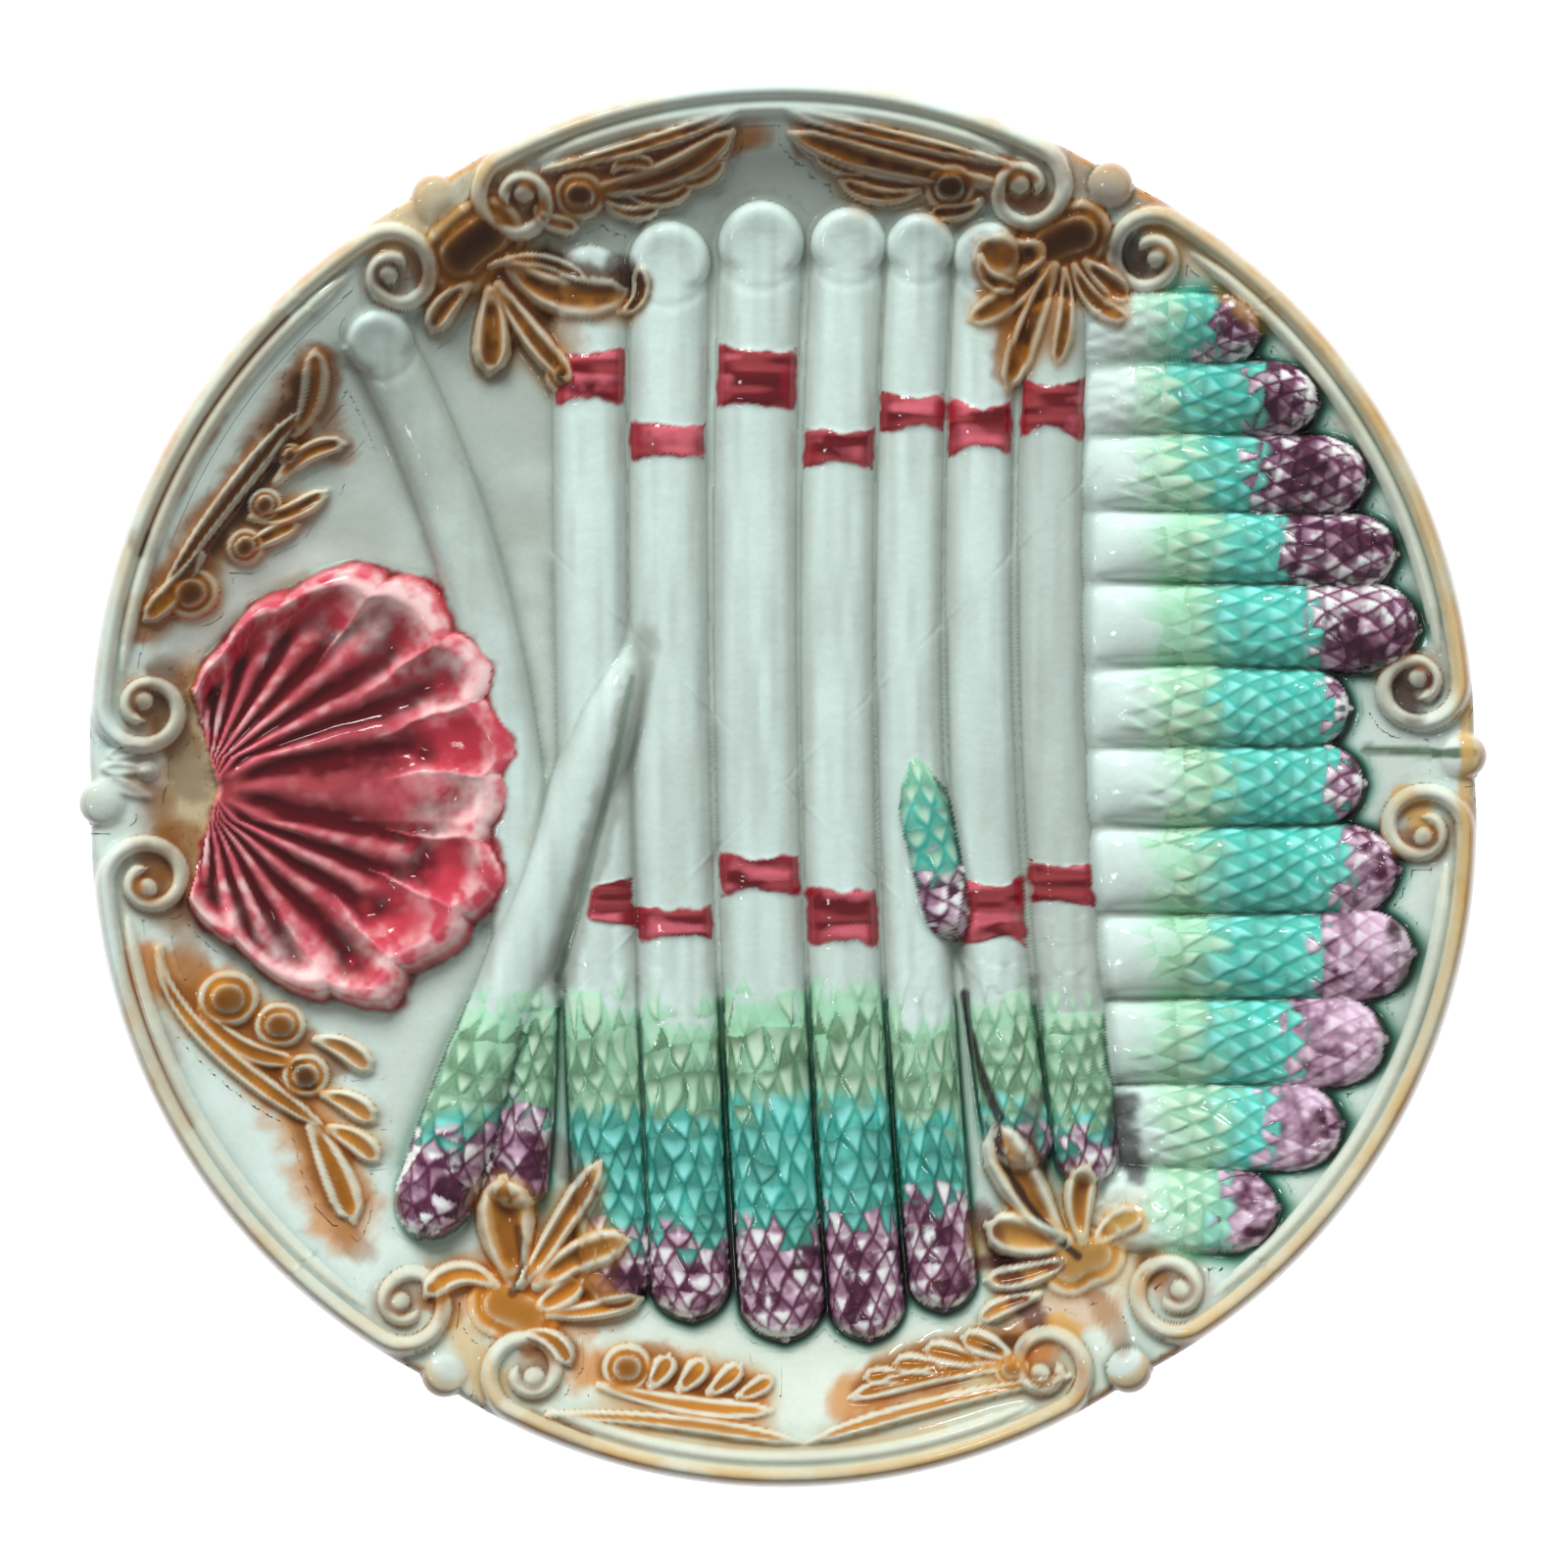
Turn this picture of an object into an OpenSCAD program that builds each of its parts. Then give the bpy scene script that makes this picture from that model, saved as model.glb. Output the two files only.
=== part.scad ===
/* [Plate] */
// Width of the plate across two facing lobes
plate_d = 245; // [220:1:270]
// Shares below are of half that width. How far each of the six lobes' centres lies off the
// plate's centre
lobe_shift_share = 0.1224; // [0.09:0.0001:0.145]
// Radius of the flat floor of the well
well_share = 0.7184; // [0.66:0.0001:0.75]
// Radius of the hollow curve that turns the floor up into the rim
cove_share = 0.2776; // [0.23:0.0001:0.31]
// Radius of the round brow at the top of the rim
brow_share = 0.1633; // [0.125:0.0001:0.195]
// Steepest slope of the rim, in degrees
rim_slope = 38; // [30:1:42]
// Thickness of the clay, measured upright
wall_t = 5; // [4.5:0.1:6]
// Radius of the round knobs between the lobes
knob_share = 0.0327; // [0.029:0.0001:0.0358]
// Height of a knob over the brow
knob_h = 2.4; // [1.5:0.1:2.6]

/* [Foot ring] */
// Outer diameter of the foot ring
foot_d = 140; // [120:1:160]
// Width of the foot ring's flat
foot_w = 5; // [3:0.5:8]
// Height of the foot ring
foot_h = 6; // [5:0.5:8]
// Draw-in of the foot ring's sides towards its flat
foot_draft = 1; // [0.5:0.1:1.4]

/* [Rim moulding] */
// Half the width of the bead that edges each lobe and curls up in its volutes
bead_half_share = 0.0139; // [0.0115:0.0001:0.0146]
// Height of that bead over the rim
bead_h = 2.6; // [2:0.1:3]
// Half the width of the thinner bead beside it
inner_bead_half_share = 0.0098; // [0.0075:0.0001:0.0114]
// Height of the thinner bead
inner_bead_h = 1.6; // [1.2:0.1:2]
// Radius of a volute where it leaves the beads
volute_share = 0.062; // [0.0575:0.0001:0.065]
// Radius of a volute at its eye
volute_eye_share = 0.018; // [0.0165:0.0001:0.021]

/* [Asparagus] */
// Height of a spear over the clay under it
spear_h = 4; // [3:0.1:5]
// Height of the spear that lies across the bundle, over the floor
crossing_h = 6.4; // [5.8:0.1:7]
// Height of the loose tip between two spears, over the floor
loose_tip_h = 5.2; // [5.1:0.1:6]
// Thickness of the two ties over the spears
tie_t = 0.5; // [0.4:0.1:0.8]

/* [Leaf ornament] */
// Height of a palmette's leaves over the clay
palmette_h = 4.6; // [4.2:0.1:5.2]
// Height of a spray's leaves and berries over the clay
spray_h = 2.4; // [2:0.1:3]

/* [Sauce shell] */
// Reach of the shell from its hinge to the far lobe
shell_reach_share = 0.4408; // [0.41:0.0001:0.457]
// Height of the shell's ruffled border over the clay
shell_h = 4; // [3:0.1:4.5]
// Height of the ribs in the shell
shell_rib_h = 0.6; // [0.4:0.1:0.8]

/* [Hidden] */
$fn = 96;
plate_r = plate_d / 2;
lobe_shift = lobe_shift_share * plate_r;
lobe_r = plate_r - lobe_shift;
well_r = well_share * plate_r;
cove_r = cove_share * plate_r;
brow_r = brow_share * plate_r;
knob_r = knob_share * plate_r;
bead_half_w = bead_half_share * plate_r;
inner_bead_half_w = inner_bead_half_share * plate_r;
volute_r = volute_share * plate_r;
volute_eye_r = volute_eye_share * plate_r;
shell_l = shell_reach_share * plate_r;
floor_z = foot_h + wall_t;
cove_end_r = well_r + cove_r * sin(rim_slope);
cove_end_z = floor_z + cove_r * (1 - cos(rim_slope));
brow_end_r = cove_end_r + brow_r * sin(rim_slope);
brow_z = cove_end_z - brow_r * cos(rim_slope);
rim_z = brow_z + brow_r;
bead_inset = 0.0025 * plate_r;
bead_mid_r = lobe_r - bead_half_w - bead_inset;
bead_gap = 0.0008 * plate_r;
knob_mid_r = plate_r - knob_r;
knob_inset = 0.0008 * plate_r;
// Space left between the clay and a relief that lies on it, the same on the round brow,
// and between a spear and a tie
seat_gap = 0.0004 * plate_r;
brow_gap = 0.0012 * plate_r;
tie_gap = 0.06;
// How far a cutting copy of a relief reaches below the clay's surface
seat_depth = 1.5;
// Height of a relief's edge, and share of its width that rests on the clay
edge_z = 0.15;
bed_share = 0.92;
// Most of a bar's length that its two ends take up
bar_ends_share = 0.9;
// Overrun of every solid that only trims another
overrun = 10;
// Half width of a ribbon's blunt end, as a share of its own half width
blunt_share = 0.3;
// Facets over a bar and a leaf, and points across the underside of each
bar_sides = 6;
bar_floor_spots = 3;
leaf_sides = 4;
leaf_floor_spots = 2;
berry_aspect = 2.6;
bead_rings = 12;
knob_rings = 6;
volute_taper = 0.3;
tie_step = 0.01;

// Knobs stand at these angles, and the lobes lie between them
knob_turns = [2.3, 61.3, 120.8, 181.7, 240.2, 300.5];
// Each scroll: middle angle of its lobe, then the angles from there to its two volutes
scroll_turns = [
    [91, 26.8, 26.6], [151.3, 25.3, 27.6], [211.2, 26.4, 25.8],
    [270.3, 27.4, 27.2], [331.3, 28.2, 27.3], [31.8, 26.8, 26.5]
];
// Angle through which a volute curls, and the rings that carry it
volute_angle = 440;
volute_rings = 18;

// Every stroke of the relief: start, middle, end, half width, height, as shares
// of the plate's radius and of the height that its piece has
spear_shares = [
    [[-0.274, 0.766], [-0.271, 0.054], [-0.239, -0.744], 0.052, 1],
    [[-0.161, 0.786], [-0.161, 0.054], [-0.13, -0.763], 0.056, 1],
    [[-0.029, 0.814], [-0.038, 0.054], [0.003, -0.791], 0.059, 1],
    [[0.096, 0.807], [0.078, 0.054], [0.124, -0.791], 0.052, 1],
    [[0.198, 0.8], [0.181, 0.054], [0.232, -0.749], 0.047, 1],
    [[0.294, 0.786], [0.283, 0.054], [0.345, -0.554], 0.047, 1],
    [[0.392, 0.696], [0.387, 0.054], [0.442, -0.571], 0.047, 1]
];
side_spear_shares = [
    [[0.451, 0.65], [0.57, 0.645], [0.675, 0.637], 0.045, 1],
    [[0.451, 0.553], [0.613, 0.549], [0.757, 0.538], 0.048, 1],
    [[0.451, 0.445], [0.652, 0.441], [0.826, 0.428], 0.052, 1],
    [[0.451, 0.339], [0.671, 0.336], [0.868, 0.324], 0.048, 1],
    [[0.451, 0.226], [0.685, 0.225], [0.9, 0.219], 0.056, 1],
    [[0.451, 0.107], [0.63, 0.107], [0.806, 0.105], 0.053, 1],
    [[0.451, -0.004], [0.64, -0.004], [0.826, -0.001], 0.053, 1],
    [[0.451, -0.124], [0.667, -0.124], [0.872, -0.124], 0.058, 1],
    [[0.462, -0.248], [0.678, -0.247], [0.892, -0.241], 0.057, 1],
    [[0.47, -0.37], [0.66, -0.37], [0.852, -0.364], 0.057, 1],
    [[0.5, -0.49], [0.65, -0.49], [0.79, -0.484], 0.055, 1],
    [[0.485, -0.608], [0.593, -0.608], [0.7, -0.603], 0.052, 1]
];
slanting_shares = [[-0.59, 0.656], [-0.398, 0.082], [-0.386, -0.61], 0.046, 1];
crossing_shares = [[-0.201, 0.222], [-0.36, -0.212], [-0.518, -0.646], 0.05, 1];
loose_shares = [[0.181, 0.066], [0.208, -0.08], [0.246, -0.222], 0.036, 1];
// Spear under each band of a tie, the band's middle and half width, then the facet
// corner of the spear from which it runs
upper_tie_shares = [
    [0, 0.578, 0.042, 1], [1, 0.488, 0.027, 1], [2, 0.579, 0.047, 1], [3, 0.479, 0.029, 1],
    [4, 0.529, 0.028, 1], [5, 0.508, 0.042, 1], [6, 0.536, 0.042, 1]
];
lower_tie_shares = [
    [0, -0.172, 0.036, 3], [1, -0.2, 0.024, 1], [2, -0.131, 0.029, 1],
    [3, -0.19, 0.042, 1], [5, -0.183, 0.049, 2], [6, -0.142, 0.032, 1]
];
palmette_shares = [
    [
        [[-0.401, 0.742], [-0.366, 0.752], [-0.331, 0.735], 0.011, 0.7],
        [[-0.395, 0.713], [-0.299, 0.68], [-0.208, 0.713], 0.025, 1],
        [[-0.395, 0.71], [-0.343, 0.646], [-0.312, 0.65], 0.018, 1],
        [[-0.41, 0.717], [-0.417, 0.659], [-0.417, 0.596], 0.024, 1],
        [[-0.428, 0.727], [-0.459, 0.696], [-0.48, 0.66], 0.025, 0.8]
    ],
    [
        [[0.38, 0.73], [0.325, 0.712], [0.269, 0.674], 0.017, 1],
        [[0.395, 0.73], [0.345, 0.652], [0.288, 0.574], 0.018, 1],
        [[0.403, 0.722], [0.409, 0.671], [0.412, 0.624], 0.02, 1],
        [[0.413, 0.718], [0.452, 0.69], [0.496, 0.692], 0.021, 1]
    ],
    [
        [[-0.392, -0.716], [-0.398, -0.646], [-0.396, -0.574], 0.033, 1],
        [[-0.381, -0.716], [-0.331, -0.646], [-0.269, -0.565], 0.017, 1],
        [[-0.37, -0.722], [-0.322, -0.682], [-0.278, -0.646], 0.028, 1],
        [[-0.384, -0.735], [-0.339, -0.728], [-0.3, -0.748], 0.022, 0.7]
    ],
    [
        [[0.42, -0.646], [0.35, -0.576], [0.303, -0.498], 0.022, 1],
        [[0.427, -0.637], [0.418, -0.598], [0.424, -0.556], 0.017, 1],
        [[0.406, -0.655], [0.356, -0.646], [0.303, -0.646], 0.028, 0.9],
        [[0.401, -0.685], [0.367, -0.69], [0.331, -0.7], 0.018, 0.7],
        [[0.434, -0.668], [0.472, -0.682], [0.505, -0.682], 0.015, 0.6]
    ]
];
spray_shares = [
    [
        [[-0.361, 0.867], [-0.201, 0.883], [-0.059, 0.93], 0.011, 0.8],
        [[-0.278, 0.85], [-0.173, 0.865], [-0.08, 0.9], 0.014, 0.7],
        [[-0.28, 0.839], [-0.208, 0.838], [-0.131, 0.846], 0.013, 0.6],
        [[-0.296, 0.812], [-0.296, 0.836], [-0.296, 0.86], 0.026, 1],
        [[-0.232, 0.82], [-0.229, 0.833], [-0.224, 0.848], 0.015, 0.9]
    ],
    [
        [[0.252, 0.87], [0.133, 0.89], [-0.01, 0.92], 0.011, 0.8],
        [[0.25, 0.86], [0.141, 0.872], [0.038, 0.898], 0.015, 0.7],
        [[0.211, 0.84], [0.134, 0.842], [0.068, 0.85], 0.013, 0.6],
        [[0.227, 0.82], [0.227, 0.84], [0.227, 0.86], 0.024, 1]
    ],
    [
        [[-0.872, 0.247], [-0.805, 0.396], [-0.689, 0.522], 0.013, 0.8],
        [[-0.741, 0.417], [-0.696, 0.501], [-0.671, 0.604], 0.017, 0.9],
        [[-0.749, 0.401], [-0.689, 0.44], [-0.629, 0.473], 0.016, 0.7],
        [[-0.78, 0.355], [-0.731, 0.365], [-0.671, 0.4], 0.015, 0.6],
        [[-0.81, 0.32], [-0.78, 0.335], [-0.755, 0.341], 0.025, 1],
        [[-0.78, 0.373], [-0.749, 0.393], [-0.73, 0.409], 0.024, 1],
        [[-0.738, 0.437], [-0.71, 0.459], [-0.691, 0.479], 0.023, 1]
    ],
    [
        [[-0.862, -0.277], [-0.753, -0.372], [-0.65, -0.462], 0.013, 0.8],
        [[-0.814, -0.312], [-0.784, -0.314], [-0.761, -0.309], 0.026, 1],
        [[-0.755, -0.345], [-0.73, -0.345], [-0.702, -0.36], 0.025, 1],
        [[-0.713, -0.402], [-0.688, -0.412], [-0.666, -0.423], 0.026, 1],
        [[-0.66, -0.476], [-0.638, -0.501], [-0.624, -0.526], 0.026, 1],
        [[-0.65, -0.554], [-0.627, -0.558], [-0.604, -0.56], 0.017, 0.7],
        [[-0.69, -0.49], [-0.655, -0.56], [-0.632, -0.624], 0.022, 0.7]
    ],
    [
        [[-0.293, -0.867], [-0.138, -0.883], [0.006, -0.928], 0.011, 0.8],
        [[-0.258, -0.83], [-0.235, -0.831], [-0.212, -0.833], 0.027, 1],
        [[-0.194, -0.836], [-0.172, -0.825], [-0.152, -0.83], 0.018, 0.9],
        [[-0.138, -0.844], [-0.119, -0.836], [-0.099, -0.847], 0.015, 0.8],
        [[-0.088, -0.858], [-0.066, -0.847], [-0.049, -0.861], 0.015, 0.7]
    ],
    [
        [[0.334, -0.858], [0.187, -0.873], [0.049, -0.928], 0.011, 0.8],
        [[0.312, -0.836], [0.298, -0.81], [0.275, -0.79], 0.02, 0.9],
        [[0.296, -0.842], [0.27, -0.82], [0.241, -0.797], 0.015, 0.8],
        [[0.264, -0.847], [0.23, -0.83], [0.194, -0.813], 0.014, 0.7],
        [[0.226, -0.853], [0.183, -0.844], [0.138, -0.828], 0.013, 0.7]
    ]
];
// Distance from the end in half widths, then width and height there, as shares: a cut
// butt on the rim, a start on the flat floor and the end of a short bar
butt_shares = [
    [0, 0.3], [0.12, 0.65], [0.45, 0.9], [0.85, 1], [1.3, 1], [1.8, 1], [2.3, 1], [2.9, 1]
];
side_start_shares = [[0, 0.5], [0.2, 0.85], [0.5, 1]];
blunt_end_shares = [[0, 0.3], [0.12, 0.6], [0.45, 0.85], [1, 1]];
// The same for a head, from its tip past the scales that stand off a little
head_end_shares = [
    [0, 0.2], [0.15, 0.55], [0.5, 0.82], [0.8, 0.92], [0.88, 0.84], [1.2, 0.94],
    [1.5, 1], [1.58, 0.92], [2, 0.98], [2.3, 1], [2.4, 0.94], [2.9, 1], [3.5, 1], [4.1, 1]
];
// Place along a leaf, then its width and height there; then the same for a berry
leaf_shares = [
    [0, 0.25], [0.15, 0.5], [0.35, 0.8], [0.55, 0.97], [0.74, 1], [0.9, 0.7], [1, 0.2]
];
berry_shares = [[0, 0.3], [0.2, 0.8], [0.5, 1], [0.8, 0.8], [1, 0.3]];

shell_hinge_share = [-0.801, -0.008];
// Angle from the shell's axis, then its reach there as a share of its length
shell_reach_shares = [
    [-100, 0.42], [-88, 0.47], [-77, 0.55], [-64, 0.72], [-50, 0.86], [-40, 0.86],
    [-30, 0.93], [-18, 0.97], [-8, 0.89], [6, 0.99], [16, 0.95], [24, 0.98], [38, 0.92],
    [48, 0.9], [58, 0.82], [70, 0.68], [80, 0.56], [90, 0.44], [100, 0.36]
];
// Way out from the hinge, then the height of the shell's face over the clay
shell_rise_shares = [
    [0.06, 0.5], [0.18, 0.4], [0.32, 0.3], [0.46, 0.25], [0.6, 0.25], [0.73, 0.35],
    [0.85, 0.75], [0.92, 1], [0.97, 0.75], [1, 0.1]
];
shell_ribs = 11;
// Height, in spears, of the space that the shell leaves over the slanting spear
shell_clearance = 2;
shell_steps = 2 * shell_ribs + 10;
shell_angle = 200;

compass = ["east", "north_east", "north_west", "west", "south_west", "south_east"];
lobe_names = ["north", "north_west", "south_west", "south", "south_east", "north_east"];
palmette_names = ["north_west", "north_east", "south_west", "south_east"];
spray_names = [
    "north_left", "north_right", "north_west", "south_west", "south_left", "south_right"
];
palmette_spears = [[0, 1], [5, 6], [0], [4, 5, 6]];
spears = len(spear_shares);
side_spears = len(side_spear_shares);

// Height of the clay's upper surface at distance r from the plate's axis
function ground_z(r) =
    r < well_r ? floor_z
    : r < cove_end_r ? floor_z + cove_r - sqrt(cove_r * cove_r - pow(r - well_r, 2))
    : r < brow_end_r ? brow_z + sqrt(brow_r * brow_r - pow(brow_end_r - r, 2))
    : rim_z;

// Point at height h over the clay at plan place p
function over(p, h) =
    [p.x, p.y, ground_z(norm(p)) + (norm(p) > cove_end_r ? brow_gap : seat_gap) + h];

// Point p turned about the plate's axis
function turned(p, a) = [p.x * cos(a) - p.y * sin(a), p.x * sin(a) + p.y * cos(a)];

// Place at share t along the curve through a row's start, middle and end
function bend(row, t) =
    plate_r * (row[0] * (1 - t) * (1 - 2 * t) + row[1] * 4 * t * (1 - t) + row[2] * t * (2 * t - 1));

function unit(v) = v / norm(v);
function right_of(v) = [v.y, -v.x];

// Cross direction at ring k of a path
function across(path, k) =
    right_of(unit(path[min(k + 1, len(path) - 1)] - path[max(k - 1, 0)]));

// Half-round sections that sit on the clay, one for each ring of a path, closed at both
// ends; sink lets the underside reach down when the solid is only used to cut another
module relief(path, half_ws, hs, sides, floor_spots, sink) {
    ring = sides + 1 + floor_spots;
    points = [
        for (k = [0:len(path) - 1]) each concat(
            [for (j = [0:sides])
                over(path[k] + across(path, k) * half_ws[k] * cos(180 * j / sides),
                    edge_z + (hs[k] - edge_z) * sin(180 * j / sides))],
            [for (j = [0:floor_spots - 1])
                over(path[k] + across(path, k) * half_ws[k] * bed_share
                    * (2 * j / (floor_spots - 1) - 1), -sink)]
        )
    ];
    last = len(points) - ring;
    polyhedron(points, concat(
        [for (k = [0:len(path) - 2]) for (j = [0:ring - 1]) each [
            [k * ring + j, k * ring + (j + 1) % ring, (k + 1) * ring + j],
            [(k + 1) * ring + j, k * ring + (j + 1) % ring, (k + 1) * ring + (j + 1) % ring]
        ]],
        [for (j = [1:ring - 2]) each [[0, j + 1, j], [last, last + j, last + j + 1]]]
    ), convexity = 6);
}

// A bar along one row with stepped outlines at its start and end
module bar(row, h, start_shares, end_shares, inner_rings, sink = 0) {
    half_w = row[3] * plate_r;
    run = norm(bend(row, 1) - bend(row, 0));
    start_end = start_shares[len(start_shares) - 1][0];
    head_end = end_shares[len(end_shares) - 1][0];
    // On a short bar the rings of both ends draw together, so that they stay in order
    step = min(half_w, bar_ends_share * run / (start_end + head_end));
    head = start_end * step;
    tail = head_end * step;
    spots = concat(
        [for (s = start_shares) s[0] * step],
        [for (k = [1:inner_rings]) head + (run - head - tail) * k / (inner_rings + 1)],
        [for (k = [len(end_shares) - 1:-1:0]) run - end_shares[k][0] * step]
    );
    shares = concat(
        [for (s = start_shares) s[1]],
        [for (k = [1:inner_rings]) 1],
        [for (k = [len(end_shares) - 1:-1:0]) end_shares[k][1]]
    );
    relief([for (s = spots) bend(row, s / run)], half_w * shares, h * row[4] * shares,
        bar_sides, bar_floor_spots, sink);
}

// A leaf, or a berry where the row is short and wide
module leaf(row, h) {
    shares = norm(row[2] - row[0]) < berry_aspect * row[3] ? berry_shares : leaf_shares;
    relief([for (s = shares) bend(row, s[0])],
        [for (s = shares) row[3] * plate_r * s[1]],
        [for (s = shares) h * row[4] * s[1]], leaf_sides, leaf_floor_spots, 0);
}

// Makes one closed skin of all that it holds
module joined() {
    resize([0, 0, 0]) union() children();
}

module spear_bar(i, sink = 0) {
    bar(spear_shares[i], spear_h, butt_shares, head_end_shares, 4, sink);
}

module slanting_bar(sink = 0, tall = 1) {
    bar(slanting_shares, tall * spear_h, butt_shares, head_end_shares, 7, sink);
}

module crossing_bar(sink = 0) {
    bar(crossing_shares, crossing_h, butt_shares, head_end_shares, 5, sink);
}

module side_bar(i, sink = 0) {
    bar(side_spear_shares[i], spear_h, side_start_shares, head_end_shares, 2, sink);
}

// The wall of the dish from its axis outwards: floor, cove and brow
module wall_section() {
    translate([0, foot_h]) square([well_r, wall_t]);
    intersection() {
        difference() {
            translate([well_r, foot_h + cove_r]) circle(cove_r);
            translate([well_r, floor_z + cove_r]) circle(cove_r);
        }
        translate([well_r, foot_h]) square([cove_end_r - well_r, rim_z]);
    }
    intersection() {
        difference() {
            translate([brow_end_r, brow_z]) circle(brow_r);
            translate([brow_end_r, brow_z - wall_t]) circle(brow_r);
        }
        translate([cove_end_r, foot_h]) square([plate_r + overrun - cove_end_r, rim_z]);
    }
}

// Plan of the plate: six round lobes and the knobs between them
module outline() {
    for (s = scroll_turns)
        rotate(s[0]) translate([lobe_shift, 0]) circle(lobe_r);
    for (a = knob_turns)
        rotate(a) translate([knob_mid_r, 0]) circle(knob_r);
}

module plate_body() {
    color([0.84, 0.87, 0.83]) intersection() {
        rotate_extrude() wall_section();
        linear_extrude(2 * rim_z) outline();
    }
}

module foot_ring() {
    foot_r = foot_d / 2;
    color([0.86, 0.82, 0.74]) rotate_extrude() polygon([
        [foot_r - foot_w - 2 * foot_draft, foot_h], [foot_r - foot_w - foot_draft, 0],
        [foot_r - foot_draft, 0], [foot_r, foot_h]
    ]);
}

// Spiral from a lobe's bead inwards; way is 1 at the lobe's left end and -1 at its right
function volute_path(mid, turn, way) =
    [for (k = [1:volute_rings])
        let (
            t = k / volute_rings,
            a = way * (turn + volute_angle * t),
            r = volute_r + (volute_eye_r - volute_r) * t,
            eye = (bead_mid_r - volute_r) * [cos(turn), way * sin(turn)]
        )
        turned([lobe_shift, 0] + eye + r * [cos(a), sin(a)], mid)];

// Scroll of one lobe: an outer bead that curls up at both ends, and a thinner one beside it
module scroll_ribbon(i) {
    s = scroll_turns[i];
    right_end = volute_path(s[0], s[2], -1);
    left_end = volute_path(s[0], s[1], 1);
    path = concat(
        [for (k = [volute_rings - 1:-1:0]) right_end[k]],
        [for (k = [0:bead_rings]) let (a = (s[1] + s[2]) * k / bead_rings - s[2])
            turned([lobe_shift, 0] + bead_mid_r * [cos(a), sin(a)], s[0])],
        left_end
    );
    last = len(path) - 1;
    shares = [for (k = [0:last]) let (to_eye = max(volute_rings - k, k - last + volute_rings, 0))
        k == 0 || k == last ? blunt_share : 1 - volute_taper * to_eye / volute_rings];
    relief(path, bead_half_w * shares, bead_h * shares, leaf_sides, leaf_floor_spots, 0);
    inner_r = bead_mid_r - bead_half_w - inner_bead_half_w - bead_gap;
    inner = [for (k = [1:bead_rings - 1]) let (a = (s[1] + s[2]) * k / bead_rings - s[2])
        turned([lobe_shift, 0] + inner_r * [cos(a), sin(a)], s[0])];
    inner_shares = [
        for (k = [0:bead_rings - 2]) k == 0 || k == bead_rings - 2 ? blunt_share : 1
    ];
    relief(inner, inner_bead_half_w * inner_shares, inner_bead_h * inner_shares,
        leaf_sides, leaf_floor_spots, 0);
}

module rim_scroll(i) {
    color([0.78, 0.66, 0.47]) scroll_ribbon(i);
}

module rim_knob(i) {
    a = knob_turns[i];
    spots = [for (k = [0:knob_rings]) -cos(180 * k / knob_rings)];
    shares = [for (x = spots) max(blunt_share, sqrt(1 - x * x))];
    color([0.88, 0.88, 0.82])
        relief([for (x = spots) turned([knob_mid_r + (knob_r - knob_inset) * x, 0], a)],
            (knob_r - knob_inset) * shares, knob_h * shares, bar_sides, leaf_floor_spots, 0);
}

module spear(i) {
    color([0.62, 0.8, 0.68]) spear_bar(i);
}

module side_spear(i) {
    color([0.35, 0.74, 0.66]) side_bar(i);
}

module slanting_spear() {
    color([0.8, 0.85, 0.8]) slanting_bar();
}

// This one lies over its neighbours
module crossing_spear() {
    color([0.75, 0.83, 0.77]) joined() difference() {
        crossing_bar();
        for (i = [0, 1]) spear_bar(i, seat_depth);
        slanting_bar(seat_depth);
    }
}

// A short tip that peeps out between two spears and rides up on both
module loose_tip() {
    color([0.3, 0.62, 0.45]) joined() difference() {
        bar(loose_shares, loose_tip_h, blunt_end_shares, blunt_end_shares, 1);
        for (i = [4, 5]) spear_bar(i, seat_depth);
    }
}

// Point of a spear's skin at height y, and at facet corner j across it
function skin(row, y, j) =
    let (
        t = (y - row[0].y) / (row[2].y - row[0].y),
        p = bend(row, t),
        way = right_of(unit(bend(row, t + tie_step) - bend(row, t - tie_step)))
    )
    over(p + way * row[3] * plate_r * cos(180 * j / bar_sides),
        edge_z + (spear_h - edge_z) * sin(180 * j / bar_sides));

// A band over one spear, from facet corner j0 to j1
module tie_band(row, y, half, j0, j1) {
    corners = j1 - j0 + 1;
    points = [
        for (e = [-1, 1]) for (up = [tie_gap, tie_t]) for (j = [j0:j1])
            skin(row, y - e * half, j) + [0, 0, up]
    ];
    n = 2 * corners;
    // Corners of one end, once round: along the inside, then back along the outside
    loop = concat([for (j = [0:corners - 1]) j], [for (j = [corners - 1:-1:0]) corners + j]);
    polyhedron(points, concat(
        [for (k = [0:n - 1]) let (a = loop[k], b = loop[(k + 1) % n]) each [
            [a, n + a, b], [b, n + a, n + b]
        ]],
        [for (j = [0:corners - 2]) each [
            [j, j + 1, corners + j], [j + 1, corners + j + 1, corners + j],
            [n + j, n + corners + j, n + j + 1], [n + j + 1, n + corners + j, n + corners + j + 1]
        ]]
    ), convexity = 4);
}

// A tie's bands, each clear of the spear under it
module tie(rows) {
    color([0.6, 0.13, 0.22]) joined() for (r = rows) difference() {
        tie_band(spear_shares[r[0]], r[1], r[2], r[3], bar_sides - 1);
        spear_bar(r[0], seat_depth);
    }
}

module upper_tie() {
    tie(upper_tie_shares);
}

module lower_tie() {
    tie(lower_tie_shares);
}

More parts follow.
